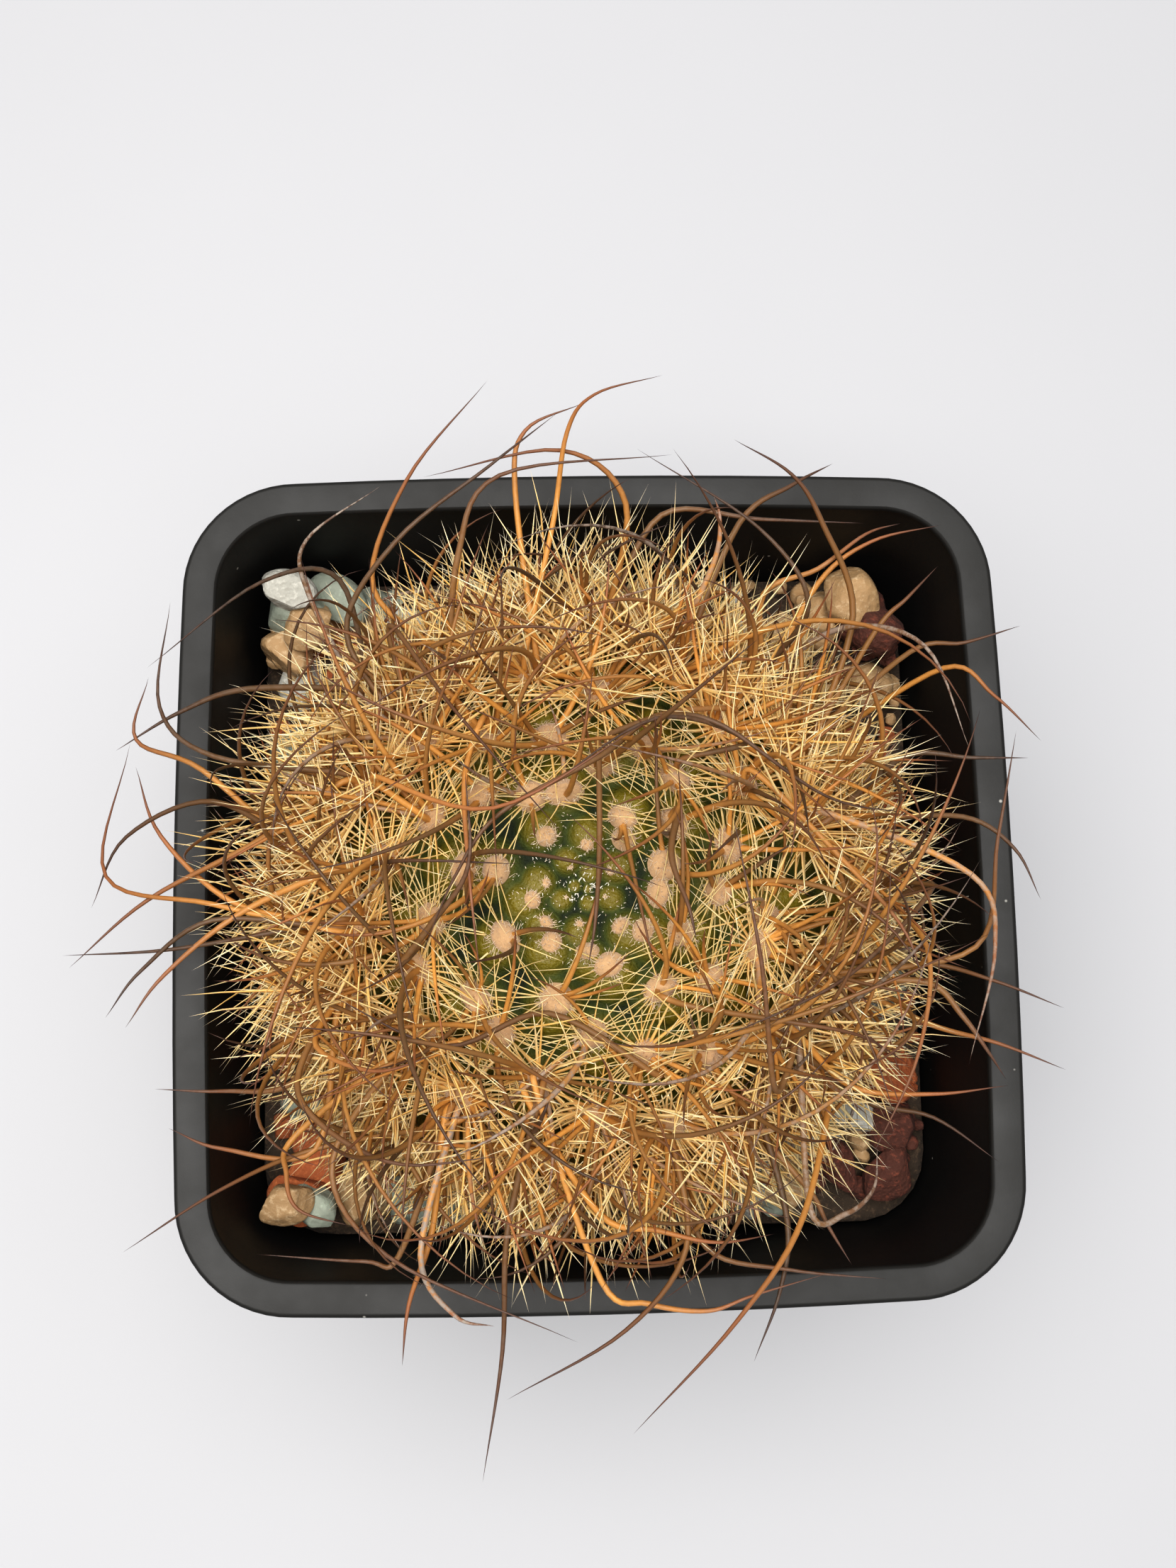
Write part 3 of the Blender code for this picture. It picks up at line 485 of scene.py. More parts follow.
def tube_faces(rings, sides):
    """The faces of a tube that ends in one tip point."""
    faces = []
    for ring in range(rings - 1):
        for i in range(sides):
            j = (i + 1) % sides
            low, high = ring * sides, (ring + 1) * sides
            faces.append((low + i, low + j, high + j, high + i))
    last = (rings - 1) * sides
    for i in range(sides):
        faces.append((last + i, last + (i + 1) % sides, rings * sides))
    return faces


def add_needle(bundle, line, radius, sides, taper=2.2, swell=0.3, **values):
    """One needle along a line: thickest at its root, then even, then down to a sharp tip."""
    line = np.asarray(line, dtype=float)
    count = len(line)
    along = np.linspace(0, 1, count)
    ahead = np.gradient(line, axis=0)
    ahead /= np.linalg.norm(ahead, axis=1)[:, None]
    middle = line - line.mean(axis=0)
    flat = np.linalg.svd(middle, full_matrices=False)[2][2]
    side = np.cross(ahead, flat)
    side /= np.maximum(np.linalg.norm(side, axis=1), 1e-9)[:, None]
    other = np.cross(side, ahead)
    width = radius * (1 - along ** taper) * (1 + swell * np.exp(-along * 22))
    angles = 2 * np.pi * np.arange(sides) / sides
    rings = line[:-1, None, :] + width[:-1, None, None] * (
        side[:-1, None, :] * np.cos(angles)[None, :, None]
        + other[:-1, None, :] * np.sin(angles)[None, :, None]
    )
    points = np.vstack((rings.reshape(-1, 3), line[-1:]))
    place = np.append(np.repeat(along[:-1], sides), 1.0)
    bundle.add(points, tube_faces(count - 1, sides), along=place, **values)


# Pot

def rounded_square(width, corner, height, bulge=0.0, arc_steps=14, side_steps=7):
    """One ring of points round a square with round corners and slightly bowed sides."""
    half = width / 2
    straight = half - corner
    ring = []
    for side in range(4):
        turn = Quaternion((0, 0, 1), math.radians(90 * side))
        for number in range(side_steps):
            step = 2 * (number + 1) / (side_steps + 1) - 1
            out = half + bulge * (1 - step * step)
            ring.append(turn @ Vector((out, step * straight, height)))
        for step in range(arc_steps + 1):
            angle = math.radians(90 * step / arc_steps)
            x = straight + corner * math.cos(angle)
            y = straight + corner * math.sin(angle)
            ring.append(turn @ Vector((x, y, height)))
    return ring


def outer_width(height):
    """The wall's outer width, which grows from the base to the rim."""
    top = RIM_WIDTH - 2 * (RIM_FACE - WALL)
    return BASE_WIDTH + (top - BASE_WIDTH) * height / POT_HEIGHT


def inner_width(height):
    """The width of the space inside the wall."""
    return outer_width(height) - 2 * WALL


def wall_ring(width, height):
    """A ring on the wall, whose corner and bowing grow with the height."""
    share = height / POT_HEIGHT
    top_corner = RIM_CORNER - (RIM_FACE - WALL)
    corner = BASE_CORNER + (top_corner - BASE_CORNER) * share
    corner -= (outer_width(height) - width) / 2
    return rounded_square(width, corner, height, SIDE_BULGE * share)


def rounding(width, height, radius, start, steps=4):
    """Rings round an edge, as a quarter turn about a point inside it; the start is in degrees."""
    rings = []
    for step in range(steps + 1):
        angle = math.radians(start + 90 * step / steps)
        rings.append(wall_ring(width + 2 * radius * math.cos(angle), height + radius * math.sin(angle)))
    return rings


def pot_rings(edge):
    """The pot's sections from the middle of its base, over the rim, down to its floor."""
    skirt_z = POT_HEIGHT - SKIRT_DROP
    under_rim_z = POT_HEIGHT - WALL
    lip = SKIRT_WALL / 2
    skirt_low = RIM_WIDTH - SKIRT_TAPER
    foot = 0.8 * MM
    return [
        *rounding(outer_width(foot) - 2 * foot, foot, foot, -90),
        *(wall_ring(outer_width(height), height) for height in (12 * MM, 30 * MM, 48 * MM, skirt_z)),
        wall_ring(outer_width(under_rim_z - 0.8 * MM), under_rim_z - 0.8 * MM),
        wall_ring(outer_width(under_rim_z) + 0.5 * MM, under_rim_z - 0.2 * MM),
        wall_ring(outer_width(under_rim_z) + 1.0 * MM, under_rim_z),
        wall_ring(RIM_WIDTH - 2 * SKIRT_WALL, under_rim_z - 0.1 * MM),
        wall_ring(skirt_low - 2 * SKIRT_WALL, skirt_z + lip),
        *(wall_ring(skirt_low - SKIRT_WALL - SKIRT_WALL * math.cos(math.radians(angle)),
                    skirt_z + lip - lip * math.sin(math.radians(angle))) for angle in (30, 60, 90, 120, 150)),
        wall_ring(skirt_low, skirt_z + lip),
        *rounding(RIM_WIDTH - 2 * edge, POT_HEIGHT - edge, edge, 0),
        *reversed(rounding(inner_width(POT_HEIGHT) + 2 * edge, POT_HEIGHT - edge, edge, 90)[1:]),
    ], [
        wall_ring(inner_width(48 * MM), 48 * MM),
        wall_ring(inner_width(20 * MM), 20 * MM),
        wall_ring(inner_width(POT_FLOOR + 1 * MM), POT_FLOOR + 1 * MM),
        wall_ring(inner_width(POT_FLOOR) - 0.6 * MM, POT_FLOOR + 0.3 * MM),
        wall_ring(inner_width(POT_FLOOR) - 2 * MM, POT_FLOOR),
    ]


def drain_cutters(collection):
    """Four drain holes, each with a channel that leads the water to the side."""
    for side in range(4):
        turn = Quaternion((0, 0, 1), math.radians(90 * side))
        hole = bmesh.new()
        bmesh.ops.create_cone(
            hole, cap_ends=True, segments=40, radius1=DRAIN_RADIUS, radius2=DRAIN_RADIUS,
            depth=4 * POT_FLOOR,
        )
        bmesh.ops.translate(hole, verts=hole.verts[:], vec=turn @ Vector((DRAIN_OFFSET, 0, 0)))
        length = BASE_WIDTH / 2 - DRAIN_OFFSET + 2 * MM
        channel = bmesh.new()
        bmesh.ops.create_cube(channel, size=1)
        bmesh.ops.scale(channel, verts=channel.verts[:], vec=(length, CHANNEL_WIDTH, 2 * CHANNEL_DEPTH))
        bmesh.ops.translate(channel, verts=channel.verts[:], vec=(DRAIN_OFFSET + length / 2, 0, 0))
        bmesh.ops.rotate(
            channel, verts=channel.verts[:], cent=(0, 0, 0), matrix=turn.to_matrix(),
        )
        for name, shape in (("hole", hole), ("channel", channel)):
            mesh = bpy.data.meshes.new(f"drain_{name}_{side}")
            shape.to_mesh(mesh)
            shape.free()
            collection.objects.link(bpy.data.objects.new(mesh.name, mesh))


def moulded_polypropylene(pot):
    """Moulded black polypropylene: a soft satin, even black with a very fine matt grain, dust specks and painted
    light on the faces that look up.
    """
    material, tree, shader = start_material("moulded_black_polypropylene")
    place = add_node(tree, "ShaderNodeTexCoord").outputs["Object"]
    # The mould's spark grain is about 0.1 mm; it is drawn at 0.25 mm to show in the render
    grain = add_node(tree, "ShaderNodeTexNoise", {
        "Vector": place, "Scale": per_cell(0.25 * MM), "Detail": 2.0,
    })
    # Handling marks a few millimetres wide, where the satin is a little smoother or duller
    smear = add_node(tree, "ShaderNodeTexNoise", {
        "Vector": place, "Scale": per_cell(9 * MM), "Detail": 4.0, "Roughness": 0.6,
    })
    # Dust specks of about 0.3 mm, with a cell of 2.2 mm for each
    speck = add_node(tree, "ShaderNodeTexVoronoi", {
        "Vector": place, "Scale": per_cell(2.2 * MM), "Randomness": 1.0,
    })
    near = add_node(tree, "ShaderNodeMapRange", {
        "Value": speck.outputs["Distance"], "From Min": 0.045, "From Max": 0.085,
        "To Min": 1.0, "To Max": 0.0,
    })
    chosen = add_node(tree, "ShaderNodeSeparateColor", {"Color": speck.outputs["Color"]})
    rare = add_node(tree, "ShaderNodeMath", {0: chosen.outputs[0], 1: 0.82}, operation="GREATER_THAN")
    dust = add_node(tree, "ShaderNodeMath", {0: near.outputs[0], 1: rare.outputs[0]}, operation="MULTIPLY")
    # Painted light: the faces that look up, such as the rim, get a paler colour, as if lit from above
    facing = add_node(tree, "ShaderNodeNewGeometry")
    upward = add_node(tree, "ShaderNodeSeparateXYZ", {0: facing.outputs["Normal"]})
    lit_from_above = add_node(tree, "ShaderNodeMapRange", {
        "Value": upward.outputs[2], "From Min": 0.3, "From Max": 0.95, "To Min": 0.0, "To Max": 1.0,
    })
    patchy = add_node(tree, "ShaderNodeMapRange", {
        "Value": smear.outputs["Fac"], "From Min": 0.3, "From Max": 0.7, "To Min": 0.75, "To Max": 1.0,
    })
    painted_top_light = add_node(tree, "ShaderNodeMath", {0: lit_from_above.outputs[0], 1: patchy.outputs[0]}, operation="MULTIPLY")
    tone = add_node(tree, "ShaderNodeMix", {
        0: painted_top_light.outputs[0], 6: tuple(pot.plastic), 7: tuple(pot.lit_top_plastic),
    }, data_type="RGBA")
    colour = add_node(tree, "ShaderNodeMix", {
        0: dust.outputs[0], 6: tone.outputs[2], 7: tuple(pot.scuff),
    }, data_type="RGBA")
    gloss = add_node(tree, "ShaderNodeMapRange", {
        "Value": smear.outputs["Fac"], "From Min": 0.3, "From Max": 0.7, "To Min": 0.5, "To Max": 0.62,
    })
    bump = add_node(tree, "ShaderNodeBump", {
        "Height": grain.outputs["Fac"], "Strength": 0.25, "Distance": 0.03 * MM,
    })
    tree.links.new(colour.outputs[2], shader.inputs["Base Color"])
    tree.links.new(gloss.outputs[0], shader.inputs["Roughness"])
    tree.links.new(bump.outputs[0], shader.inputs["Normal"])
    shader.inputs["IOR"].default_value = 1.49
    shader.inputs["Specular IOR Level"].default_value = 0.34
    return material


class CACTUS_OT_make_pot(bpy.types.Operator):
    """Build the moulded pot with its folded rim, skirt and drains"""

    bl_idname = "cactus.make_pot"
    bl_label = "Make Pot"

    def execute(self, context):
        settings = context.scene.cactus_pot
        outside, inside = pot_rings(settings.edge)
        rings = outside + inside
        material = moulded_polypropylene(settings)
        pot = object_from(loft(rings), "plastic_pot", material)
        cutters = bpy.data.collections.new("drain_cutters")
        context.scene.collection.children.link(cutters)
        drain_cutters(cutters)
        cut = pot.modifiers.new("Drains", "BOOLEAN")
        cut.operation = "DIFFERENCE"
        cut.operand_type = "COLLECTION"
        cut.collection = cutters
        cut.solver = "EXACT"
        graph = context.evaluated_depsgraph_get()
        mesh = bpy.data.meshes.new_from_object(pot.evaluated_get(graph))
        pot.modifiers.clear()
        pot.data = mesh
        mesh.set_sharp_from_angle(angle=math.radians(32))
        for cutter in list(cutters.objects):
            bpy.data.objects.remove(cutter)
        bpy.data.collections.remove(cutters)
        dress(pot, "pot_plastic", "pot")
        return {"FINISHED"}


# Soil

def damp_peat_soil(soil):
    """Damp peat potting soil: near-black brown, dull, with paler dry crumbs."""
    material, tree, shader = start_material("damp_peat_soil")
    place = add_node(tree, "ShaderNodeTexCoord").outputs["Object"]
    # Crumbs of 1.5 mm
    crumb = add_node(tree, "ShaderNodeTexVoronoi", {"Vector": place, "Scale": per_cell(1.5 * MM)})
    # Fibres and dust of 0.4 mm
    fibre = add_node(tree, "ShaderNodeTexNoise", {
        "Vector": place, "Scale": per_cell(0.4 * MM), "Detail": 4.0, "Roughness": 0.7,
    })
    mix = add_node(tree, "ShaderNodeMath", {
        0: crumb.outputs["Distance"], 1: fibre.outputs["Fac"],
    }, operation="MULTIPLY")
    colour = add_node(tree, "ShaderNodeMix", {
        0: mix.outputs[0], 6: tuple(soil.peat), 7: tuple(soil.crumb),
    }, data_type="RGBA")
    bump = add_node(tree, "ShaderNodeBump", {"Height": mix.outputs[0], "Strength": 0.8, "Distance": 0.5 * MM})
    tree.links.new(colour.outputs[2], shader.inputs["Base Color"])
    tree.links.new(bump.outputs[0], shader.inputs["Normal"])
    shader.inputs["Roughness"].default_value = 0.95
    return material


class CACTUS_OT_make_soil(bpy.types.Operator):
    """Give the CAD soil its damp peat finish"""

    bl_idname = "cactus.make_soil"
    bl_label = "Make Soil"

    def execute(self, context):
        soil = frame["nodes"]["soil"]
        soil.data.materials.clear()
        soil.data.materials.append(damp_peat_soil(context.scene.cactus_soil))
        return {"FINISHED"}


# Gravel

def inside_pot(x, y, z, margin):
    """Whether points are inside the pot's wall by at least a margin."""
    half = inner_width(z) / 2 - margin
    corner = max(RIM_CORNER - RIM_FACE - margin, 1 * MM)
    over_x = np.maximum(np.abs(x) - (half - corner), 0)
    over_y = np.maximum(np.abs(y) - (half - corner), 0)
    return np.hypot(over_x, over_y) <= corner


def underside(distance):
    """The height of the body's lower surface at a distance from the plant's axis."""
    share = min(distance / BODY_RADIUS, 1)
    return BODY_MIDDLE - UNDERSIDE_DROP * math.sqrt(1 - share * share)


def stone_places():
    """Seeded places for the top stones, none too near another: x, y and size."""
    draw = random.Random("stones")
    places = []
    tries = 0
    while len(places) < STONE_COUNT and tries < 6000:
        tries += 1
        size = draw.uniform(*STONE_SIZE)
        x = draw.uniform(-1, 1) * inner_width(BED_TOP) / 2
        y = draw.uniform(-1, 1) * inner_width(BED_TOP) / 2
        if not inside_pot(x, y, BED_TOP, size * 1.15 + GAP):
            continue
        if math.hypot(x - PLANT_X, y - PLANT_Y) < 22 * MM:
            continue
        if all(math.hypot(x - a, y - b) > 0.78 * (size + c) for a, b, c in places):
            places.append((x, y, size))
    return places


def unit_ball(subdivisions):
    """Points and faces of a ball of radius one."""
    bm = bmesh.new()
    bmesh.ops.create_icosphere(bm, subdivisions=subdivisions, radius=1)
    points = np.array([tuple(vertex.co) for vertex in bm.verts])
    faces = [tuple(vertex.index for vertex in face.verts) for face in bm.faces]
    bm.free()
    return points, faces


def broken_stone(ball, draw, chips, worn):
    """A crushed stone: the ball cut back by flat chips, with its edges a little worn."""
    cuts = []
    for _ in range(chips):
        way = np.array([draw.gauss(0, 1) for _ in range(3)])
        cuts.append((way / np.linalg.norm(way), draw.uniform(0.62, 0.92)))
    reach = np.full(len(ball), 1.05)
    for way, depth in cuts:
        facing = ball @ way
        flat = np.where(facing > 0.05, depth / np.maximum(facing, 0.05), 9.0)
        softened = -np.log(np.exp(-worn * reach) + np.exp(-worn * flat)) / worn
        reach = softened
    return ball * np.minimum(reach, 1.1)[:, None]


def turned(points, angles):
    """Points turned by Euler angles."""
    return points @ np.array(Euler(angles).to_matrix()).T


def stone_kind(x, y, draw):
    """The kind of stone for a place: as noted for the corners that show, else drawn by share."""
    near = min(STONE_PLACES, key=lambda noted: math.hypot(noted[0] * MM - x, noted[1] * MM - y))
    drawn = draw.choices(STONE_KINDS, STONE_SHARES)[0]
    return near[2] if math.hypot(near[0] * MM - x, near[1] * MM - y) < 4.4 * MM else drawn


def stone_material(name, colour, grain, pore, roughness, speckle):
    """Crushed mineral: dull and grainy, in one colour with paler and darker grains and small pits."""
    material, tree, shader = start_material(name)
    place = add_node(tree, "ShaderNodeTexCoord").outputs["Object"]
    tone = add_node(tree, "ShaderNodeAttribute", attribute_name="tone").outputs["Fac"]
    grains = add_node(tree, "ShaderNodeTexNoise", {
        "Vector": place, "Scale": per_cell(grain), "Detail": 5.0, "Roughness": 0.65,
    })
    clouds = add_node(tree, "ShaderNodeTexNoise", {
        "Vector": place, "Scale": per_cell(4 * grain), "Detail": 2.0,
    })
    pits = add_node(tree, "ShaderNodeTexVoronoi", {"Vector": place, "Scale": per_cell(pore)})
    whole = add_node(tree, "ShaderNodeMix", {
        0: tone, 6: dark(colour, 0.72), 7: dark(colour, 1.16),
    }, data_type="RGBA")
    cloudy = add_node(tree, "ShaderNodeMix", {
        0: clouds.outputs["Fac"], 6: whole.outputs[2], 7: dark(colour, 0.8),
    }, data_type="RGBA")
    grain_share = add_node(tree, "ShaderNodeMapRange", {
        "Value": grains.outputs["Fac"], "From Min": 0.52, "From Max": 0.7, "To Min": 0.0, "To Max": 0.55,
    })
    mixed = add_node(tree, "ShaderNodeMix", {
        0: grain_share.outputs[0], 6: cloudy.outputs[2], 7: speckle,
    }, data_type="RGBA")
    height = add_node(tree, "ShaderNodeMath", {
        0: grains.outputs["Fac"], 1: pits.outputs["Distance"],
    }, operation="ADD")
    bump = add_node(tree, "ShaderNodeBump", {"Height": height.outputs[0], "Strength": 0.7, "Distance": 0.18 * MM})
    tree.links.new(mixed.outputs[2], shader.inputs["Base Color"])
    tree.links.new(bump.outputs[0], shader.inputs["Normal"])
    shader.inputs["Roughness"].default_value = roughness
    return material


def stone_materials(gravel):
    """The five kinds of stone in the top dressing."""
    return {
        # White pumice: chalky and pitted, with no gloss
        "pumice": stone_material(
            "crushed_white_pumice", gravel.pumice, 0.6 * MM, 0.5 * MM, 0.9, linear("#CFCCC0")),
        # Tan granite: pinkish-tan grains with pale feldspar
        "granite": stone_material(
            "crushed_tan_granite", gravel.granite, 0.7 * MM, 0.9 * MM, 0.75, linear("#CDB592")),
        # Zeolite: smooth, chalky green-grey
        "zeolite": stone_material(
            "crushed_green_zeolite", gravel.zeolite, 0.9 * MM, 1.2 * MM, 0.8, linear("#A9B5A2")),
        # Fired clay: even orange-brown and powdery
        "clay": stone_material(
            "fired_clay_granules", gravel.clay, 0.5 * MM, 0.6 * MM, 0.92, linear("#C87B48")),
        # Fines: damp grit and dust between the stones, dark brown, partly as painted shade between the stones
        "grit_and_shade": stone_material(
            "dark_grit_with_painted_shade", gravel.grit_and_shade, 0.5 * MM, 0.7 * MM, 0.95, linear("#6B5540")),
        # Lava stone: dark red-brown and full of pores
        "lava": stone_material(
            "crushed_red_lava", gravel.lava, 0.6 * MM, 0.45 * MM, 0.9, linear("#8A4A36")),
    }


def mound(x, y):
    """How far the bed rises towards the heaped corners."""
    return max(rise * MM * math.exp(-((x / MM - a) ** 2 + (y / MM - b) ** 2) / reach ** 2)
               for a, b, rise, reach in MOUNDS)


def bed_rings(columns=144, rows=26, sunk=1.6 * MM):
    """The gravel bed round the root: up the hole, out over its uneven top and down the wall."""
    low = SOIL_TOP + GAP
    top = BED_TOP - sunk
    slope = (ROOT_RADIUS - ROOT_TIP_RADIUS) / (BED_TOP - ROOT_TIP_Z)
    angles = [2 * math.pi * column / columns for column in range(columns)]

    def hole(height):
        radius = ROOT_RADIUS + GAP + slope * (height - BED_TOP)
        return [Vector((PLANT_X + radius * math.cos(a), PLANT_Y + radius * math.sin(a), height)) for a in angles]

    def wall(height):
        reach = []
        for a in angles:
            near, far = 20 * MM, 50 * MM
            for _ in range(24):
                middle = (near + far) / 2
                x = PLANT_X + middle * math.cos(a)
                y = PLANT_Y + middle * math.sin(a)
                if inside_pot(x, y, height, GAP):
                    near = middle
                else:
                    far = middle
            reach.append(Vector((PLANT_X + near * math.cos(a), PLANT_Y + near * math.sin(a), height)))
        return reach

    draw = random.Random("bed")
    inner, outer = hole(top), wall(top)
    rings = [hole(low), hole(top - 1 * MM)]
    for row in range(1, rows):
        ring = [a.lerp(b, row / rows) for a, b in zip(inner, outer)]
        rings.append([
            point + Vector((0, 0, 0.7 * mound(point.x, point.y) - draw.uniform(0, 0.9) * MM))
            for point in ring
        ])
    rings.append(wall(top - 0.5 * MM))
    rings.append(wall(low))
    rings.append(hole(low))
    return rings


class CACTUS_OT_make_gravel(bpy.types.Operator):
    """Build the bed of grit and the crushed stones of five kinds on it"""

    bl_idname = "cactus.make_gravel"
    bl_label = "Make Gravel"

    def execute(self, context):
        settings = context.scene.cactus_gravel
        materials = stone_materials(settings)
        bed = object_from(loft(bed_rings(), False, False), "gravel_bed", materials["grit_and_shade"])
        bmesh_of_bed = bmesh.new()
        bmesh_of_bed.from_mesh(bed.data)
        bmesh.ops.remove_doubles(bmesh_of_bed, verts=bmesh_of_bed.verts[:], dist=0.001 * MM)
        bmesh.ops.recalc_face_normals(bmesh_of_bed, faces=bmesh_of_bed.faces[:])
        bmesh_of_bed.to_mesh(bed.data)
        bmesh_of_bed.free()
        # A low tone of 0.3 darkens the bed's grit further: painted shade between the stones
        tone = bed.data.attributes.new("tone", "FLOAT", "POINT")
        tone.data.foreach_set("value", [0.3] * len(bed.data.vertices))
        dress(bed, "gravel", "gravel")

        bundles = {kind: Bundle("tone") for kind in STONE_KINDS}
        ball, faces = unit_ball(4)
        places = [(x, y, None, size, None) for x, y, size in stone_places()]
        places += [(x * MM, y * MM, z * MM, size * MM, kind) for x, y, z, size, kind in HEAPED_STONES]
        for number, (x, y, height, size, kind) in enumerate(places):
            draw = random.Random(f"stone-{number}")
            flat = size * draw.uniform(0.7, 0.85)
            # The CAD stone draws a number for each of its corners here
            for _ in range(CAD_STONE_CORNERS):
                draw.random()
            width = size * draw.uniform(0.72, 0.9)
            angles = (draw.uniform(-0.2, 0.2), draw.uniform(-0.2, 0.2), draw.uniform(0, 6.28))
            ceiling = STONE_CEILING
            distance = math.hypot(x - PLANT_X, y - PLANT_Y) - size
            if distance < BODY_RADIUS:
                ceiling = min(ceiling, underside(distance) - RIB_HEIGHT - TUBERCLE_HEIGHT)
            z = height or min(BED_TOP + 0.35 * flat, ceiling - 1.15 * flat)
            drawn_kind = stone_kind(x, y, draw)
            points = broken_stone(ball, draw, 11, 26) * np.array((size, width, flat)) * 1.12
            points = turned(points, angles) + np.array((x, y, z))
            if height is None:
                points[:, 2] = np.minimum(points[:, 2], ceiling + 0.2 * MM)
            bundles[kind or drawn_kind].add(points, faces, tone=draw.random())
        small_ball, small_faces = unit_ball(2)
        mid_ball, mid_faces = unit_ball(3)
        draw = random.Random("grit")
        sizes = [draw.uniform(*settings.chip_size) for _ in range(settings.chip_count)]
        sizes += [settings.grit_size * draw.uniform(0.6, 1.1) for _ in range(settings.grit_count)]
        for size in sizes:
            for _ in range(60):
                x = draw.uniform(-1, 1) * inner_width(BED_TOP) / 2
                y = draw.uniform(-1, 1) * inner_width(BED_TOP) / 2
                away = math.hypot(x - PLANT_X, y - PLANT_Y)
                if inside_pot(x, y, BED_TOP, size * 1.1 + GAP) and away > ROOT_RADIUS + 1.3 * size + 1 * MM:
                    break
            stretch = np.array([draw.uniform(0.7, 1.05) for _ in range(3)]) * size
            angles = [draw.uniform(0, 6.28) for _ in range(3)]
            shape, shape_faces = (mid_ball, mid_faces) if size > 1.4 * MM else (small_ball, small_faces)
            points = turned(broken_stone(shape, draw, 9, 24) * stretch, angles)
            rise = mound(x, y) if away > NEST_RADIUS + size else 0.0
            points += np.array((x, y, BED_TOP + rise + draw.uniform(-0.9, 0.2) * size))
            ceiling = underside(away - size) - RIB_HEIGHT - TUBERCLE_HEIGHT if away < BODY_RADIUS else STONE_CEILING
            points[:, 2] -= max(points[:, 2].max() - ceiling - rise, 0)
            kind = stone_kind(x, y, draw)
            bundles[kind].add(points, shape_faces, tone=draw.random())
        for kind, bundle in bundles.items():
            dress(bundle.build(f"{kind}_stones", materials[kind], 38), "gravel", "gravel")
        return {"FINISHED"}


# Plant body

def profile(polar):
    """A point of the smooth body in its half plane: distance from the axis and height."""
    rise = CROWN_RISE if polar < math.pi / 2 else UNDERSIDE_DROP
    return BODY_RADIUS * math.sin(polar), BODY_MIDDLE + rise * math.cos(polar)


def polar_at(arc):
    """The polar angle that lies an arc length away from the crown."""
    step = math.radians(0.5)
    polar = 0.0
    while arc > 0:
        near = profile(polar)
        far = profile(polar + step)
        arc -= math.hypot(far[0] - near[0], far[1] - near[1])
        polar += step
    return polar


def smooth_point(azimuth, polar):
    """A point of the smooth body, and its outward normal."""
    out, height = profile(polar)
    rise = CROWN_RISE if polar < math.pi / 2 else UNDERSIDE_DROP
    normal = Vector((
        math.sin(polar) * rise * math.cos(azimuth),
        math.sin(polar) * rise * math.sin(azimuth),
        math.cos(polar) * BODY_RADIUS,
    )).normalized()
    point = Vector((PLANT_X + out * math.cos(azimuth), PLANT_Y + out * math.sin(azimuth), height))
    return point, normal


def areole_places():
    """Azimuth, polar angle and arc from the crown of every areole, youngest first."""
    spiral = []
    for number in range(AREOLES):
        arc = AREOLE_START + AREOLE_STEP * number
        azimuth = FIRST_AREOLE + TURN * number
        spiral.append([arc * math.cos(azimuth), arc * math.sin(azimuth)])
    for distance, bearing in CROWN_AREOLES:
        x = distance * MM * math.cos(math.radians(bearing))
        y = distance * MM * math.sin(math.radians(bearing))
        nearest = min(spiral, key=lambda place: math.hypot(place[0] - x, place[1] - y))
        nearest[:] = [x, y]
    places = []
    for x, y in spiral:
        arc = math.hypot(x, y)
        places.append((math.atan2(y, x), polar_at(arc), arc))
    return places


def youngest_tubercles():
    """Azimuth and arc of the tubercles that form in the middle of the crown, without an areole yet."""
    return [
        (FIRST_AREOLE + TURN * number, AREOLE_START + AREOLE_STEP * number) for number in (-4, -3, -2, -1)
    ]


def relief(points, azimuths, polars, areoles):
    """How far the body stands out at each point, and how near the top of a tubercle the point is."""
    axis = points - np.array((PLANT_X, PLANT_Y, 0))
    arc = np.hypot(axis[:, 0], axis[:, 1])
    rib_share = np.clip((arc - 10 * MM) / (8 * MM), 0, 1) * np.maximum(np.sin(polars), 0) ** 0.5
    rib = 0.5 + 0.5 * np.cos(RIBS * (azimuths - FIRST_AREOLE))
    bump = np.zeros(len(points))
    raised = np.zeros(len(points))
    tubercles = [(azimuth, away) for azimuth, _, away in areoles] + youngest_tubercles()
    for number, (azimuth, away) in enumerate(tubercles):
        # The tubercle's chin lies below its areole, away from the crown
        grade = math.sqrt(min(away, 24 * MM) / MM)
        chin = np.array(smooth_point(azimuth, polar_at(away + 0.36 * grade * MM))[0])
        draw = random.Random(f"tubercle-{number}")
        reach = 0.96 * MM * grade * draw.uniform(0.9, 1.1)
        steps = points - chin
        near = np.exp(-(np.einsum("ij,ij->i", steps, steps) / reach ** 2) ** 1.5)
        bump = np.maximum(bump, near)
        rise = TUBERCLE_HEIGHT * min(1.3, 0.4 * grade + 0.1) * draw.uniform(0.92, 1.08)
        raised = np.maximum(raised, near * rise)
    height = RIB_HEIGHT * rib_share * rib + raised - 0.2 * TUBERCLE_HEIGHT
    height -= CROWN_DIMPLE * np.exp(-((arc / (4 * MM)) ** 2))
    height = np.where(polars > math.radians(140), 0, height)
    return height, np.clip(0.12 * rib * rib_share + bump, 0, 1)


def body_grid(columns, rows):
    """Rows of azimuth and polar angles, closer together near the crown."""
    last = math.radians(158)
    shares = (np.arange(rows) + 0.4) / rows
    polars = last * shares ** 1.12
    azimuths = FIRST_AREOLE + 2 * np.pi * np.arange(columns) / columns
    return np.meshgrid(azimuths, polars)


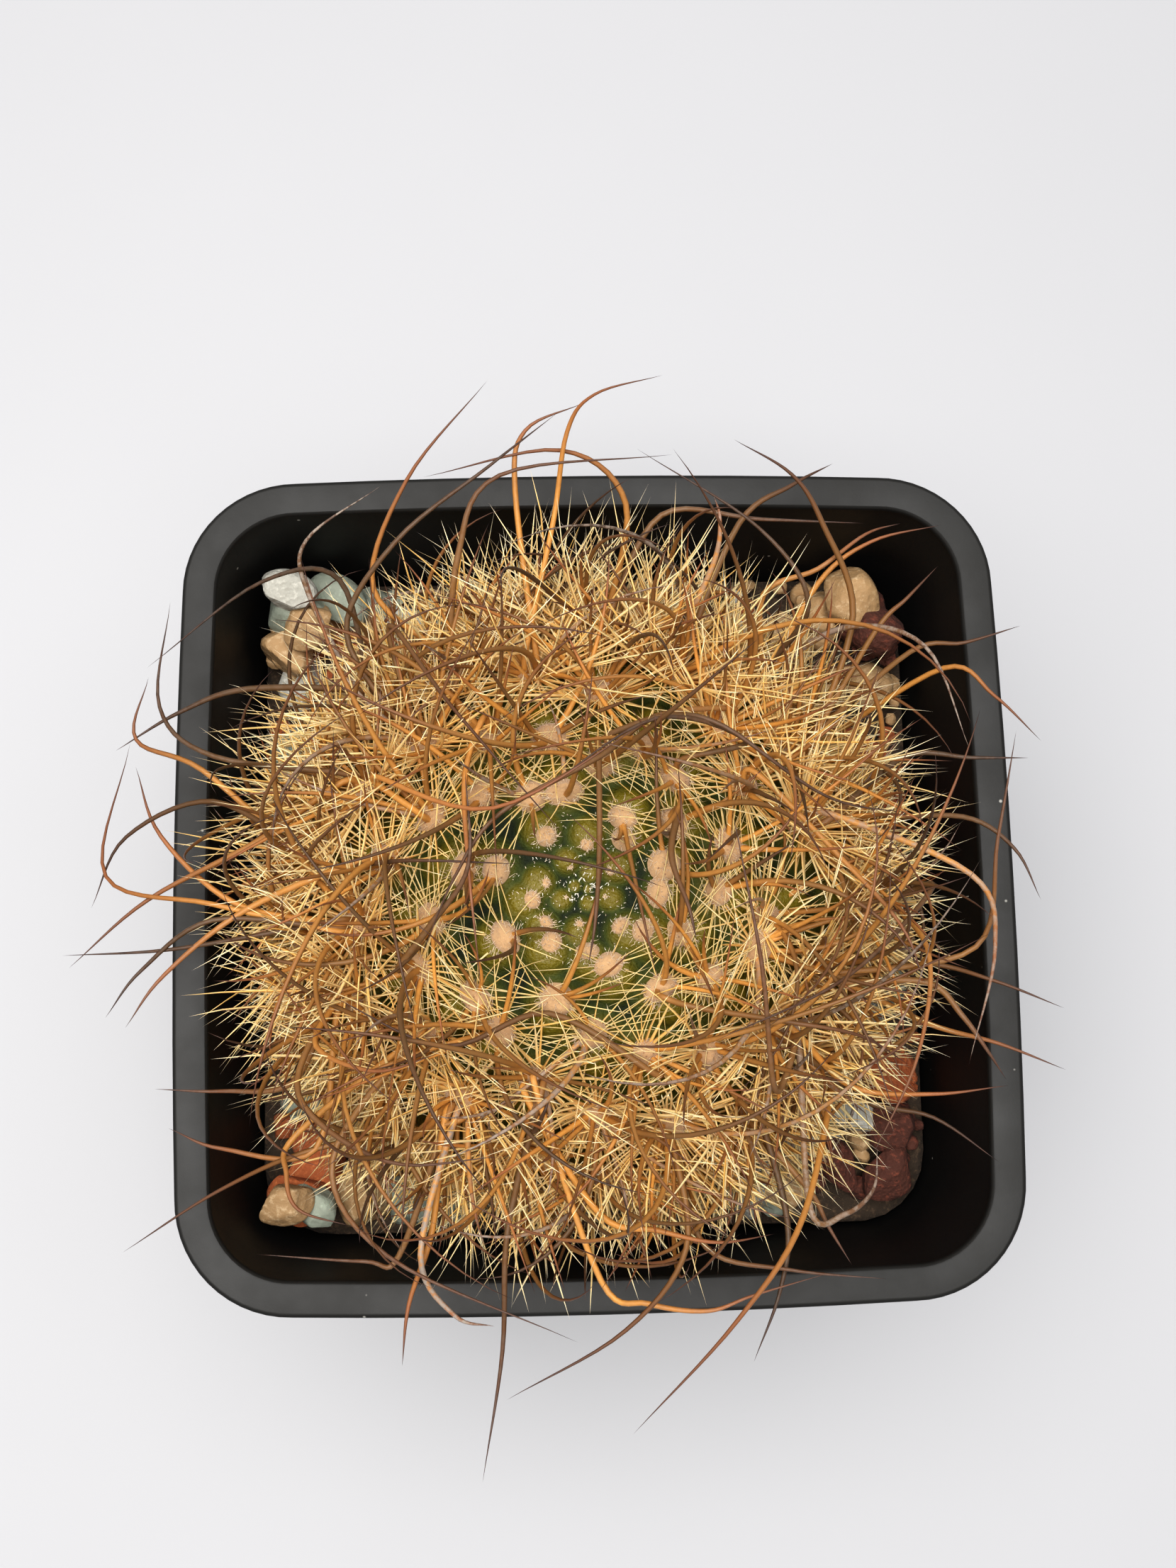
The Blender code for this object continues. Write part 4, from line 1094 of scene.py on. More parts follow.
def build_body(settings, areoles):
    """Points, faces and values of the plant's body, with its neck and taproot."""
    columns = settings.columns * RIBS
    azimuths, polars = body_grid(columns, settings.rows)
    azimuths, polars = azimuths.ravel(), polars.ravel()
    places = [smooth_point(a, p) for a, p in zip(azimuths, polars)]
    points = np.array([tuple(point) for point, _ in places])
    normals = np.array([tuple(normal) for _, normal in places])
    height, top = relief(points, azimuths, polars, areoles)
    points = points + normals * height[:, None]
    crown, normal = smooth_point(0, 0)
    tip = np.array(crown) - np.array(normal) * CROWN_DIMPLE * 0.9
    slope = (ROOT_RADIUS - ROOT_TIP_RADIUS) / (BED_TOP - ROOT_TIP_Z)
    neck = []
    for z in np.linspace(BED_TOP, ROOT_TIP_Z, 14):
        radius = ROOT_RADIUS + slope * (z - BED_TOP)
        ring = azimuths[:columns]
        neck.append(np.stack((
            PLANT_X + radius * np.cos(ring), PLANT_Y + radius * np.sin(ring), np.full(columns, z),
        ), axis=1))
    points = np.vstack((points, *neck, tip[None, :], [[PLANT_X, PLANT_Y, ROOT_TIP_Z]]))
    top = np.concatenate((top, np.full(14 * columns, 0.1), [0.2], [0.1]))
    total = settings.rows + 14
    faces = []
    for row in range(total - 1):
        for i in range(columns):
            j = (i + 1) % columns
            faces.append((row * columns + i, (row + 1) * columns + i, (row + 1) * columns + j, row * columns + j))
    last = (total - 1) * columns
    faces += [(total * columns, i, (i + 1) % columns) for i in range(columns)]
    faces += [(total * columns + 1, last + (i + 1) % columns, last + i) for i in range(columns)]
    return points, faces, top


def living_epidermis(body):
    """Living cactus skin: waxy olive green, with painted shade on the flanks and in the furrows, dull in the
    furrows, with a fine grain of pores.
    """
    material, tree, shader = start_material("living_green_epidermis")
    place = add_node(tree, "ShaderNodeTexCoord").outputs["Object"]
    top = add_node(tree, "ShaderNodeAttribute", attribute_name="top").outputs["Fac"]
    age = add_node(tree, "ShaderNodeAttribute", attribute_name="age").outputs["Fac"]
    root = add_node(tree, "ShaderNodeAttribute", attribute_name="root").outputs["Fac"]
    # Pores of the skin are about 0.05 mm; they are drawn at 0.22 mm to show in the render
    pores = add_node(tree, "ShaderNodeTexVoronoi", {"Vector": place, "Scale": per_cell(0.22 * MM)})
    # Blotches of 2 mm where the skin is yellower
    blotch = add_node(tree, "ShaderNodeTexNoise", {
        "Vector": place, "Scale": per_cell(2 * MM), "Detail": 4.0, "Roughness": 0.6,
    })
    skin = add_node(tree, "ShaderNodeMix", {
        0: age, 6: tuple(body.young_skin), 7: tuple(body.skin),
    }, data_type="RGBA")
    yellowed = add_node(tree, "ShaderNodeMapRange", {
        "Value": blotch.outputs["Fac"], "From Min": 0.42, "From Max": 0.68, "To Min": 0.0, "To Max": 0.5,
    })
    warm = add_node(tree, "ShaderNodeMix", {
        0: yellowed.outputs[0], 6: skin.outputs[2], 7: linear("#74681A"),
    }, data_type="RGBA")
    speck = add_node(tree, "ShaderNodeMapRange", {
        "Value": pores.outputs["Distance"], "From Min": 0.08, "From Max": 0.36, "To Min": 0.36, "To Max": 0.0,
    })
    dotted = add_node(tree, "ShaderNodeMix", {
        0: speck.outputs[0], 6: warm.outputs[2], 7: linear("#86802E"),
    }, data_type="RGBA")
    # Painted shade: the flanks of a tubercle are a deeper green than its top, and the furrows deeper still
    flank = add_node(tree, "ShaderNodeMapRange", {
        "Value": top, "From Min": 0.42, "From Max": 0.92, "To Min": 0.0, "To Max": 1.0,
    })
    upper = add_node(tree, "ShaderNodeMix", {
        0: flank.outputs[0], 6: linear("#363E08"), 7: dotted.outputs[2],
    }, data_type="RGBA")
    shade = add_node(tree, "ShaderNodeMapRange", {
        "Value": top, "From Min": 0.12, "From Max": 0.5, "To Min": 0.0, "To Max": 1.0,
    }, interpolation_type="SMOOTHSTEP")
    green = add_node(tree, "ShaderNodeMix", {
        0: shade.outputs[0], 6: tuple(body.furrow_shade), 7: upper.outputs[2],
    }, data_type="RGBA")
    colour = add_node(tree, "ShaderNodeMix", {
        0: root, 6: green.outputs[2], 7: linear("#7A5B3A"),
    }, data_type="RGBA")
    # Warts of 0.5 mm make the tubercles uneven
    warts = add_node(tree, "ShaderNodeTexNoise", {
        "Vector": place, "Scale": per_cell(0.5 * MM), "Detail": 3.0, "Roughness": 0.6,
    })
    uneven = add_node(tree, "ShaderNodeBump", {
        "Height": warts.outputs["Fac"], "Strength": 0.9, "Distance": 0.3 * MM,
    })
    bump = add_node(tree, "ShaderNodeBump", {
        "Height": pores.outputs["Distance"], "Strength": 0.5, "Distance": 0.06 * MM,
        "Normal": uneven.outputs[0],
    })
    # The wax is worn smooth on the tops and stays dull in the furrows
    wax = add_node(tree, "ShaderNodeMapRange", {
        "Value": top, "From Min": 0.3, "From Max": 0.9, "To Min": 0.85, "To Max": 0.5,
    })
    tree.links.new(colour.outputs[2], shader.inputs["Base Color"])
    tree.links.new(wax.outputs[0], shader.inputs["Roughness"])
    tree.links.new(bump.outputs[0], shader.inputs["Normal"])
    shader.inputs["IOR"].default_value = 1.42
    return material


class CACTUS_OT_make_body(bpy.types.Operator):
    """Build the green body with its ribs and tubercles, its neck and its taproot"""

    bl_idname = "cactus.make_body"
    bl_label = "Make Body"

    def execute(self, context):
        settings = context.scene.cactus_body
        points, faces, top = build_body(settings, areole_places())
        away = np.hypot(points[:, 0] - PLANT_X, points[:, 1] - PLANT_Y)
        bundle = Bundle("top", "age", "root")
        bundle.add(
            points, faces, top=top, age=np.clip((away - 4 * MM) / (9 * MM), 0, 1),
            root=np.clip((BODY_MIDDLE - 8 * MM - points[:, 2]) / (3 * MM), 0, 1),
        )
        body = bundle.build("cactus_body", living_epidermis(settings))
        dress(body, "cactus", "cactus")
        return {"FINISHED"}


# Areoles and their wool

def body_surface():
    """The body's surface, to place areoles on."""
    body = bpy.data.objects.get("cactus_body")
    if body is None:
        raise RuntimeError("make the body first")
    mesh = body.data
    return BVHTree.FromPolygons([v.co for v in mesh.vertices], [p.vertices for p in mesh.polygons])


def areole_frames():
    """Each areole's number, arc, point, normal, direction down the rib and sideways direction."""
    surface = body_surface()
    frames = []
    for number, (azimuth, polar, arc) in enumerate(areole_places()):
        point, normal = smooth_point(azimuth, polar)
        reach = 2 * (RIB_HEIGHT + TUBERCLE_HEIGHT)
        point = surface.ray_cast(point + normal * reach, -normal)[0]
        sideways = Vector((-math.sin(azimuth), math.cos(azimuth), 0))
        frames.append((number, arc, point, normal, sideways.cross(normal), sideways))
    return frames


def pad_radius(arc):
    """The radius of an areole's felt, which grows with the areole."""
    return min(max(0.26 * arc - 0.32 * MM, 0.15 * MM), 1.65 * MM)


def felted_wool(wool):
    """Felted plant wool: matt, cream to pinkish tan, with no gloss and a soft sheen at its edge."""
    material, tree, shader = start_material("felted_plant_wool")
    place = add_node(tree, "ShaderNodeTexCoord").outputs["Object"]
    age = add_node(tree, "ShaderNodeAttribute", attribute_name="age").outputs["Fac"]
    # Strands are 0.02 mm thick; the clumps that they form are 0.25 mm and are what shows
    clump = add_node(tree, "ShaderNodeTexNoise", {
        "Vector": place, "Scale": per_cell(0.25 * MM), "Detail": 4.0, "Roughness": 0.7,
    })
    # Bits of dark dirt of 0.1 mm, one for each 0.6 mm
    dirt = add_node(tree, "ShaderNodeTexVoronoi", {"Vector": place, "Scale": per_cell(0.6 * MM)})
    speck = add_node(tree, "ShaderNodeMapRange", {
        "Value": dirt.outputs["Distance"], "From Min": 0.1, "From Max": 0.2, "To Min": 0.7, "To Max": 0.0,
    })
    base = add_node(tree, "ShaderNodeMix", {0: age, 6: tuple(wool.felt), 7: tuple(wool.old_felt)}, data_type="RGBA")
    soft = add_node(tree, "ShaderNodeMapRange", {
        "Value": clump.outputs["Fac"], "From Min": 0.35, "From Max": 0.7, "To Min": 0.35, "To Max": 0.0,
    })
    shaded = add_node(tree, "ShaderNodeMix", {
        0: soft.outputs[0], 6: base.outputs[2], 7: linear("#8A6648"),
    }, data_type="RGBA")
    colour = add_node(tree, "ShaderNodeMix", {
        0: speck.outputs[0], 6: shaded.outputs[2], 7: linear("#6B4A35"),
    }, data_type="RGBA")
    bump = add_node(tree, "ShaderNodeBump", {"Height": clump.outputs["Fac"], "Strength": 0.8, "Distance": 0.12 * MM})
    tree.links.new(colour.outputs[2], shader.inputs["Base Color"])
    tree.links.new(bump.outputs[0], shader.inputs["Normal"])
    shader.inputs["Roughness"].default_value = 0.95
    shader.inputs["Sheen Weight"].default_value = 0.3
    return material


def loose_wool(wool):
    """Loose plant wool of the crown: fine, white, matt strands."""
    material, tree, shader = start_material("loose_white_plant_wool")
    age = add_node(tree, "ShaderNodeAttribute", attribute_name="age").outputs["Fac"]
    colour = add_node(tree, "ShaderNodeMix", {
        0: age, 6: tuple(wool.crown_wool), 7: tuple(wool.felt),
    }, data_type="RGBA")
    tree.links.new(colour.outputs[2], shader.inputs["Base Color"])
    shader.inputs["Roughness"].default_value = 0.9
    shader.inputs["Sheen Weight"].default_value = 0.3
    return material


def felt_pad(draw, radius):
    """Points and faces of one lumpy felt dome on the plane, with its edge sunk below it."""
    rings, columns = 6, 16
    lumps = [(draw.uniform(0, 6.28), draw.uniform(0.1, 0.9), draw.uniform(-0.15, 0.2)) for _ in range(7)]
    points = []
    for ring in range(1, rings + 1):
        share = ring / rings
        for column in range(columns):
            angle = 2 * math.pi * column / columns
            height = 0.42 * math.sqrt(max(1 - share ** 3, 0)) - 0.28 * share ** 4
            for turn, out, rise in lumps:
                away = (share * math.cos(angle) - out * math.cos(turn)) ** 2
                away += (share * math.sin(angle) - out * math.sin(turn)) ** 2
                height += rise * math.exp(-away * 14)
            points.append((share * math.cos(angle), share * math.sin(angle), height))
    points.append((0, 0, 0.42))
    faces = []
    for ring in range(rings - 1):
        for i in range(columns):
            j = (i + 1) % columns
            low, high = ring * columns, (ring + 1) * columns
            faces.append((low + i, high + i, high + j, low + j))
    faces += [(rings * columns, i, (i + 1) % columns) for i in range(columns)]
    return np.array(points) * radius, faces


def curl(draw, start, direction, length, steps=4, wander=0.7):
    """A short strand that wanders off its direction."""
    line = [start]
    way = direction.copy()
    for _ in range(steps):
        way = (way + Vector([draw.uniform(-wander, wander) for _ in range(3)])).normalized()
        line.append(line[-1] + way * length / steps)
    return [tuple(point) for point in line]


class CACTUS_OT_make_areoles(bpy.types.Operator):
    """Build the felt of the areoles, its loose fibres and the white wool in the crown"""

    bl_idname = "cactus.make_areoles"
    bl_label = "Make Areoles"

    def execute(self, context):
        settings = context.scene.cactus_wool
        pads = Bundle("age")
        fibres = Bundle("along", "age")
        for number, arc, point, normal, down, sideways in areole_frames():
            draw = random.Random(f"areole-{number}")
            radius = pad_radius(arc)
            age = min(max((arc - 9 * MM) / (18 * MM), 0), 1) * draw.uniform(0.4, 1)
            axes = np.array((
                tuple(down * draw.uniform(0.75, 1)), tuple(sideways * draw.uniform(0.85, 1.15)), tuple(normal),
            ))
            points, faces = felt_pad(draw, radius)
            pads.add(points @ axes + np.array(point - normal * 0.1 * MM), faces, age=age)
            for _ in range(int(settings.fibres * min(1, 0.35 + radius / (2 * MM)))):
                out = math.sqrt(draw.random()) * 0.95
                turn = draw.uniform(0, 6.28)
                flat = down * math.cos(turn) + sideways * math.sin(turn)
                start = point + flat * out * radius + normal * 0.25 * radius * (1 - out)
                way = (flat * out * 1.1 + normal * draw.uniform(0.3, 1)).normalized()
                line = curl(draw, start, way, draw.uniform(0.3, 0.6) * radius + 0.15 * MM, 3)
                add_needle(fibres, line, 0.035 * MM, 3, age=0.75 + 0.25 * age)
        surface = body_surface()
        draw = random.Random("crown-wool")
        for _ in range(46):
            out = 1.5 * MM * math.sqrt(draw.random())
            turn = draw.uniform(0, 6.28)
            above = Vector((PLANT_X + out * math.cos(turn), PLANT_Y + out * math.sin(turn), NEST_TOP))
            start = surface.ray_cast(above, Vector((0, 0, -1)))[0] - Vector((0, 0, 0.1 * MM))
            line = curl(draw, start, Vector((0, 0, 0.5)), draw.uniform(0.5, 1.0) * MM, 4, 1.4)
            add_needle(fibres, line, 0.06 * MM, 3, taper=4, age=draw.uniform(0, 0.2))
        # Down of the growing tubercles
        draw = random.Random("crown-down")
        for _ in range(420):
            out = 7 * MM * math.sqrt(draw.random())
            turn = draw.uniform(0, 6.28)
            above = Vector((PLANT_X + out * math.cos(turn), PLANT_Y + out * math.sin(turn), NEST_TOP))
            start, normal, _, _ = surface.ray_cast(above, Vector((0, 0, -1)))
            line = curl(draw, start - normal * 0.05 * MM, normal, draw.uniform(0.15, 0.5) * MM, 2, 0.8)
            add_needle(fibres, line, 0.035 * MM, 3, taper=3, age=draw.uniform(0, 0.8))
        dress(pads.build("areole_felt", felted_wool(settings)), "cactus", "cactus")
        dress(fibres.build("areole_wool", loose_wool(settings)), "cactus", "cactus")
        return {"FINISHED"}


# Spines

def horny_spine(spines):
    """Central spine, dry horn-like sclerenchyma: satin amber at the root, russet, then dark horn."""
    material, tree, shader = start_material("dry_horny_central_spine")
    place = add_node(tree, "ShaderNodeTexCoord").outputs["Object"]
    along = add_node(tree, "ShaderNodeAttribute", attribute_name="along").outputs["Fac"]
    tone = add_node(tree, "ShaderNodeAttribute", attribute_name="tone").outputs["Fac"]
    worn = add_node(tree, "ShaderNodeAttribute", attribute_name="worn").outputs["Fac"]
    young = add_node(tree, "ShaderNodeValToRGB", {"Fac": along}, stops=(
        (0.0, tuple(spines.amber)), (0.45, linear("#C08640")), (0.75, tuple(spines.russet)),
        (1.0, tuple(spines.horn)),
    ))
    old = add_node(tree, "ShaderNodeValToRGB", {"Fac": along}, stops=(
        (0.0, linear("#C48A42")), (0.16, linear("#80582E")), (0.36, linear("#4A3A28")),
        (0.8, linear("#30271F")), (1.0, tuple(spines.horn)),
    ))
    colour = add_node(tree, "ShaderNodeMix", {0: tone, 6: young.outputs[0], 7: old.outputs[0]}, data_type="RGBA")
    # The outer bark flakes off in chalky patches 0.8 mm long
    flakes = add_node(tree, "ShaderNodeTexNoise", {
        "Vector": place, "Scale": per_cell(0.8 * MM), "Detail": 3.0, "Roughness": 0.7,
    })
    loose = add_node(tree, "ShaderNodeMapRange", {
        "Value": flakes.outputs["Fac"], "From Min": 0.42, "From Max": 0.56, "To Min": 0.15, "To Max": 1.0,
    })
    share = add_node(tree, "ShaderNodeMath", {0: loose.outputs[0], 1: worn}, operation="MULTIPLY")
    aged = add_node(tree, "ShaderNodeMix", {
        0: share.outputs[0], 6: colour.outputs[2], 7: tuple(spines.bleached),
    }, data_type="RGBA")
    # Faint bands 0.5 mm apart, where growth paused
    band = add_node(tree, "ShaderNodeTexNoise", {
        "Vector": place, "Scale": per_cell(0.5 * MM), "Detail": 2.0,
    })
    banded = add_node(tree, "ShaderNodeMapRange", {
        "Value": band.outputs["Fac"], "From Min": 0.3, "From Max": 0.7, "To Min": 0.0, "To Max": 0.22,
    })
    final = add_node(tree, "ShaderNodeMix", {
        0: banded.outputs[0], 6: aged.outputs[2], 7: dark(spines.russet, 0.55),
    }, data_type="RGBA")
    tree.links.new(final.outputs[2], shader.inputs["Base Color"])
    shader.inputs["Roughness"].default_value = 0.48
    shader.inputs["IOR"].default_value = 1.54
    shader.inputs["Specular IOR Level"].default_value = 0.22
    return material


def straw_spine(spines):
    """Radial spine: thin, dry and translucent like straw, golden at the root and pale at the tip."""
    material, tree, shader = start_material("dry_straw_radial_spine")
    along = add_node(tree, "ShaderNodeAttribute", attribute_name="along").outputs["Fac"]
    tone = add_node(tree, "ShaderNodeAttribute", attribute_name="tone").outputs["Fac"]
    deep = add_node(tree, "ShaderNodeValToRGB", {"Fac": along}, stops=(
        (0.0, tuple(spines.straw_root)), (0.55, linear("#E0A85A")), (1.0, linear("#C68E4C")),
    ))
    pale = add_node(tree, "ShaderNodeValToRGB", {"Fac": along}, stops=(
        (0.0, linear("#E8BA78")), (0.4, tuple(spines.straw_tip)), (1.0, linear("#F2D8AA")),
    ))
    colour = add_node(tree, "ShaderNodeMix", {0: tone, 6: deep.outputs[0], 7: pale.outputs[0]}, data_type="RGBA")
    tree.links.new(colour.outputs[2], shader.inputs["Base Color"])
    # Light passes through the thin straw and lightens the mass from inside
    shader.inputs["Subsurface Weight"].default_value = 0.5
    shader.inputs["Subsurface Radius"].default_value = (1.0, 0.62, 0.36)
    shader.inputs["Subsurface Scale"].default_value = 0.5 * MM
    shader.inputs["Roughness"].default_value = 0.45
    shader.inputs["IOR"].default_value = 1.54
    return material


def ivory_bristle(spines):
    """Young bristle: hair-thin, glossy, nearly white."""
    material, tree, shader = start_material("glossy_ivory_bristle")
    along = add_node(tree, "ShaderNodeAttribute", attribute_name="along").outputs["Fac"]
    colour = add_node(tree, "ShaderNodeValToRGB", {"Fac": along}, stops=(
        (0.0, linear("#C0A066")), (0.3, tuple(spines.ivory)), (1.0, linear("#E0CC9C")),
    ))
    tree.links.new(colour.outputs[0], shader.inputs["Base Color"])
    shader.inputs["Roughness"].default_value = 0.35
    shader.inputs["IOR"].default_value = 1.54
    return material


def lifted(direction, normal, degrees):
    """A direction turned towards the normal."""
    lift = math.radians(degrees)
    flat = (direction - normal * direction.dot(normal)).normalized()
    return flat * math.cos(lift) + normal * math.sin(lift)


def bent_line(start, direction, axis, bend, length, steps, late=1.0):
    """A line that turns about an axis, more towards its tip as late grows."""
    line = [start]
    for step in range(steps):
        turn = Quaternion(axis, bend * ((step + 0.5) / steps) ** late)
        line.append(line[-1] + turn @ direction * (length / steps))
    return line


def spline_line(knots, steps):
    """A smooth line through a few points, with the same number of steps between each pair."""
    line = [knots[0]]
    padded = [2 * knots[0] - knots[1], *knots, 2 * knots[-1] - knots[-2]]
    for a, b, c, d in zip(padded, padded[1:], padded[2:], padded[3:]):
        for step in range(1, steps + 1):
            t = step / steps
            line.append(0.5 * (
                2 * b + (c - a) * t + (2 * a - 5 * b + 4 * c - d) * t ** 2
                + (3 * b - a - 3 * c + d) * t ** 3
            ))
    return line


def from_plan(x, y, height):
    """A point drawn on the plan, moved along the line of sight to its height above the rim."""
    share = (VIEW_HEIGHT - height) / (VIEW_HEIGHT - PLAN_HEIGHT)
    return Vector((
        (VIEW_X + (x - VIEW_X) * share) * MM,
        (VIEW_Y + (y - VIEW_Y) * share) * MM,
        POT_HEIGHT + height * MM,
    ))


def is_clear(line, reach=NEST_RADIUS, clearance=0.5 * MM):
    """Whether a spine's free part passes clear of the body, gravel and pot, within the nest."""
    points = np.array([tuple(point) for point in line])
    free = points[np.linalg.norm(points - points[0], axis=1) > 2 * MM]
    if not len(free):
        return True
    x, y, z = free.T
    if z.min() < STONE_CEILING + clearance or z.max() > NEST_TOP:
        return False
    away = np.hypot(x - PLANT_X, y - PLANT_Y)
    if away.max() > reach:
        return False
    low = z < POT_HEIGHT + clearance
    if low.any() and not inside_pot(x[low], y[low], z[low], clearance).all():
        return False
    if low.any() and away.max() > NEST_RADIUS:
        for a, b, height, size, _ in HEAPED_STONES:
            if np.linalg.norm(free - np.array((a, b, height)) * MM, axis=1).min() < 1.15 * size * MM + clearance:
                return False
    rise = np.where(z > BODY_MIDDLE, CROWN_RISE, UNDERSIDE_DROP) + 1.2 * MM
    within = (away / (BODY_RADIUS + 1.2 * MM)) ** 2 + ((z - BODY_MIDDLE) / rise) ** 2
    return bool(within.min() > 1)


def make_radials(spines, frames):
    """The straw-coloured spines that spread round every areole, low over the body."""
    bundle = Bundle("along", "tone")
    for number, arc, point, normal, down, sideways in frames:
        if arc < 8 * MM:
            continue
        grown = min(max((arc - 12 * MM) / (9 * MM), 0), 1)
        count = round(spines.radials * (0.08 + 0.92 * grown))
        radius = pad_radius(arc)
        for i in range(count):
            draw = random.Random(f"radial-{number}-{i}")
            for _ in range(14):
                angle = 2 * math.pi * (i + draw.uniform(0.1, 0.9)) / count
                flat = down * math.cos(angle) + sideways * math.sin(angle)
                length = draw.uniform(7, 15.5) * MM * (0.5 + 0.5 * grown) * (1 + 0.36 * max(normal.y, 0))
                direction = lifted(flat, normal, draw.triangular(2, 45 + 16 * grown, 12 + 16 * grown))
                start = point + flat * radius * 0.75 - normal * 0.35 * MM
                axis = direction.cross(normal if draw.random() < 0.7 else sideways).normalized()
                bend = math.radians(draw.uniform(-14, 34))
                line = bent_line(start, direction, axis, bend, length, 4)
                if is_clear(line, NEST_RADIUS + 3 * MM):
                    tone = draw.betavariate(1.6, 1.4)
                    thick = spines.radial_thickness * draw.uniform(0.7, 1.25) * (0.55 + 0.45 * grown)
                    add_needle(bundle, line, thick, 3, tone=tone)
                    break
    return bundle


def make_bristles(frames):
    """The hair-thin pale bristles of the young areoles."""
    bundle = Bundle("along")
    for number, arc, point, normal, down, sideways in frames:
        if arc < 6.5 * MM or arc > 22 * MM:
            continue
        count = 8 if arc < 9 * MM else 16
        comb = random.Random(f"comb-{number}")
        bend, lean = math.radians(comb.uniform(-35, 10)), comb.uniform(-12, 12)
        for i in range(count):
            draw = random.Random(f"bristle-{number}-{i}")
            # Half of them stand in a comb on each flank of the areole
            angle = math.radians(90 - 55 + 110 * (i // 2 + draw.uniform(0.2, 0.8)) / (count // 2) + lean)
            flat = down * math.cos(angle) + sideways * math.sin(angle) * (1 if i % 2 else -1)
            length = draw.uniform(4.5, 8.5) * MM * min(1, 0.45 + arc / (20 * MM))
            direction = lifted(flat, normal, draw.uniform(6, 30))
            start = point + flat * pad_radius(arc) * 0.8 - normal * 0.2 * MM
            axis = direction.cross(normal).normalized()
            line = bent_line(start, direction, axis, bend + math.radians(draw.uniform(-8, 8)), length, 6)
            if is_clear(line):
                add_needle(bundle, line, 0.085 * MM, 3, taper=1.5)
    return bundle


def generic_central(draw, arc, point, normal, down, sideways, long):
    """One seeded central spine: a long one arches over, a short one is nearly straight."""
    swing = draw.uniform(0, 2 * math.pi)
    flat = down * math.cos(swing) + sideways * math.sin(swing)
    start = point + flat * pad_radius(arc) * draw.uniform(0.1, 0.6) - normal * 0.3 * MM
    if long:
        length = draw.uniform(20, 36) * MM * min(1, 0.35 + arc / (26 * MM))
        direction = lifted(flat, normal, draw.uniform(42, 82))
        pull = sideways * draw.uniform(-1.2, 1.2) - down * draw.uniform(-0.9, 1.2)
        bend = math.radians(draw.uniform(45, 125))
        late = draw.uniform(0.8, 1.4)
    else:
        length = draw.uniform(10, 20) * MM * min(1, 0.4 + arc / (26 * MM))
        direction = lifted(flat, normal, draw.triangular(18, 80, 45))
        pull = sideways * draw.uniform(-1, 1) - down * draw.uniform(-1, 1)
        bend = math.radians(draw.uniform(8, 55))
        late = 1.0
    axis = direction.cross(pull).normalized()
    return bent_line(start, direction, axis, bend, length, 14 if long else 7, late)


def make_centrals(spines, frames):
    """The seeded central spines, short and long."""
    bundle = Bundle("along", "tone", "worn")
    for number, arc, point, normal, down, sideways in frames:
        if arc < 7 * MM:
            continue
        grown = min(max((arc - 9 * MM) / (11 * MM), 0), 1)
        kinds = [False] * round(spines.centrals * (0.2 + 0.8 * grown)) + [True] * round(0.7 + 1.6 * grown)
        for i, long in enumerate(kinds):
            draw = random.Random(f"central-{number}-{i}")
            for _ in range(24):
                line = generic_central(draw, arc, point, normal, down, sideways, long)
                if is_clear(line, NEST_RADIUS + (1.5 * MM if long else 0)):
                    tone = draw.uniform(0.4, 1) if long else draw.betavariate(1.0, 1.6)
                    worn = draw.uniform(0.4, 0.9) if draw.random() < 0.1 else 0.0
                    radius = spines.thickness * (draw.uniform(0.7, 0.95) if long else draw.uniform(0.6, 0.85))
                    add_needle(bundle, line, radius, 5, tone=tone, worn=worn)
                    break
    return bundle


def make_long_spines(spines, frames):
    """The long spines that give the nest its outline, each from an upper areole."""
    bundle = Bundle("along", "tone", "worn")
    upper = [entry for entry in frames if entry[2].z > BODY_MIDDLE and entry[1] > 3 * MM]
    for number, (root, *knots) in enumerate(LONG_SPINES + MORE_SPINES):
        draw = random.Random(f"long-{number}")
        foot = Vector((root[0] * MM, root[1] * MM))
        _, arc, point, normal, down, sideways = min(upper, key=lambda entry: (entry[2].xy - foot).length)
        angle = 2.4 * number
        point = point + (down * math.cos(angle) + sideways * math.sin(angle)) * pad_radius(arc) * 0.35
        line = spline_line([point, point + normal * 2.5 * MM, *(from_plan(*knot) for knot in knots)], 7)
        line[0] = point - normal * 0.4 * MM
        worn = draw.uniform(0.6, 1) if number in FLAKING_SPINES else draw.uniform(0, 0.12)
        radius = spines.thickness * draw.uniform(0.85, 1.05)
        tone = draw.uniform(0, 0.4) if draw.random() < 0.42 else draw.uniform(0.65, 1)
        add_needle(bundle, line, radius, 6, taper=2.9, tone=tone, worn=worn)
    return bundle


class CACTUS_OT_make_radials(bpy.types.Operator):
    """Build the straw-coloured radial spines and the ivory bristles"""

    bl_idname = "cactus.make_radials"
    bl_label = "Make Radial Spines"

    def execute(self, context):
        spines = context.scene.cactus_spines
        frames = areole_frames()
        radials = make_radials(spines, frames).build("radial_spines", straw_spine(spines))
        dress(radials, "cactus", "cactus")
        bristles = make_bristles(frames).build("young_bristles", ivory_bristle(spines))
        dress(bristles, "cactus", "cactus")
        return {"FINISHED"}


class CACTUS_OT_make_centrals(bpy.types.Operator):
    """Build the short and the long central spines"""

    bl_idname = "cactus.make_centrals"
    bl_label = "Make Central Spines"

    def execute(self, context):
        spines = context.scene.cactus_spines
        frames = areole_frames()
        material = horny_spine(spines)
        centrals = make_centrals(spines, frames).build("central_spines", material)
        dress(centrals, "cactus", "cactus")
        long_spines = make_long_spines(spines, frames).build("long_spines", material)
        dress(long_spines, "cactus", "cactus")
        return {"FINISHED"}


# Stage

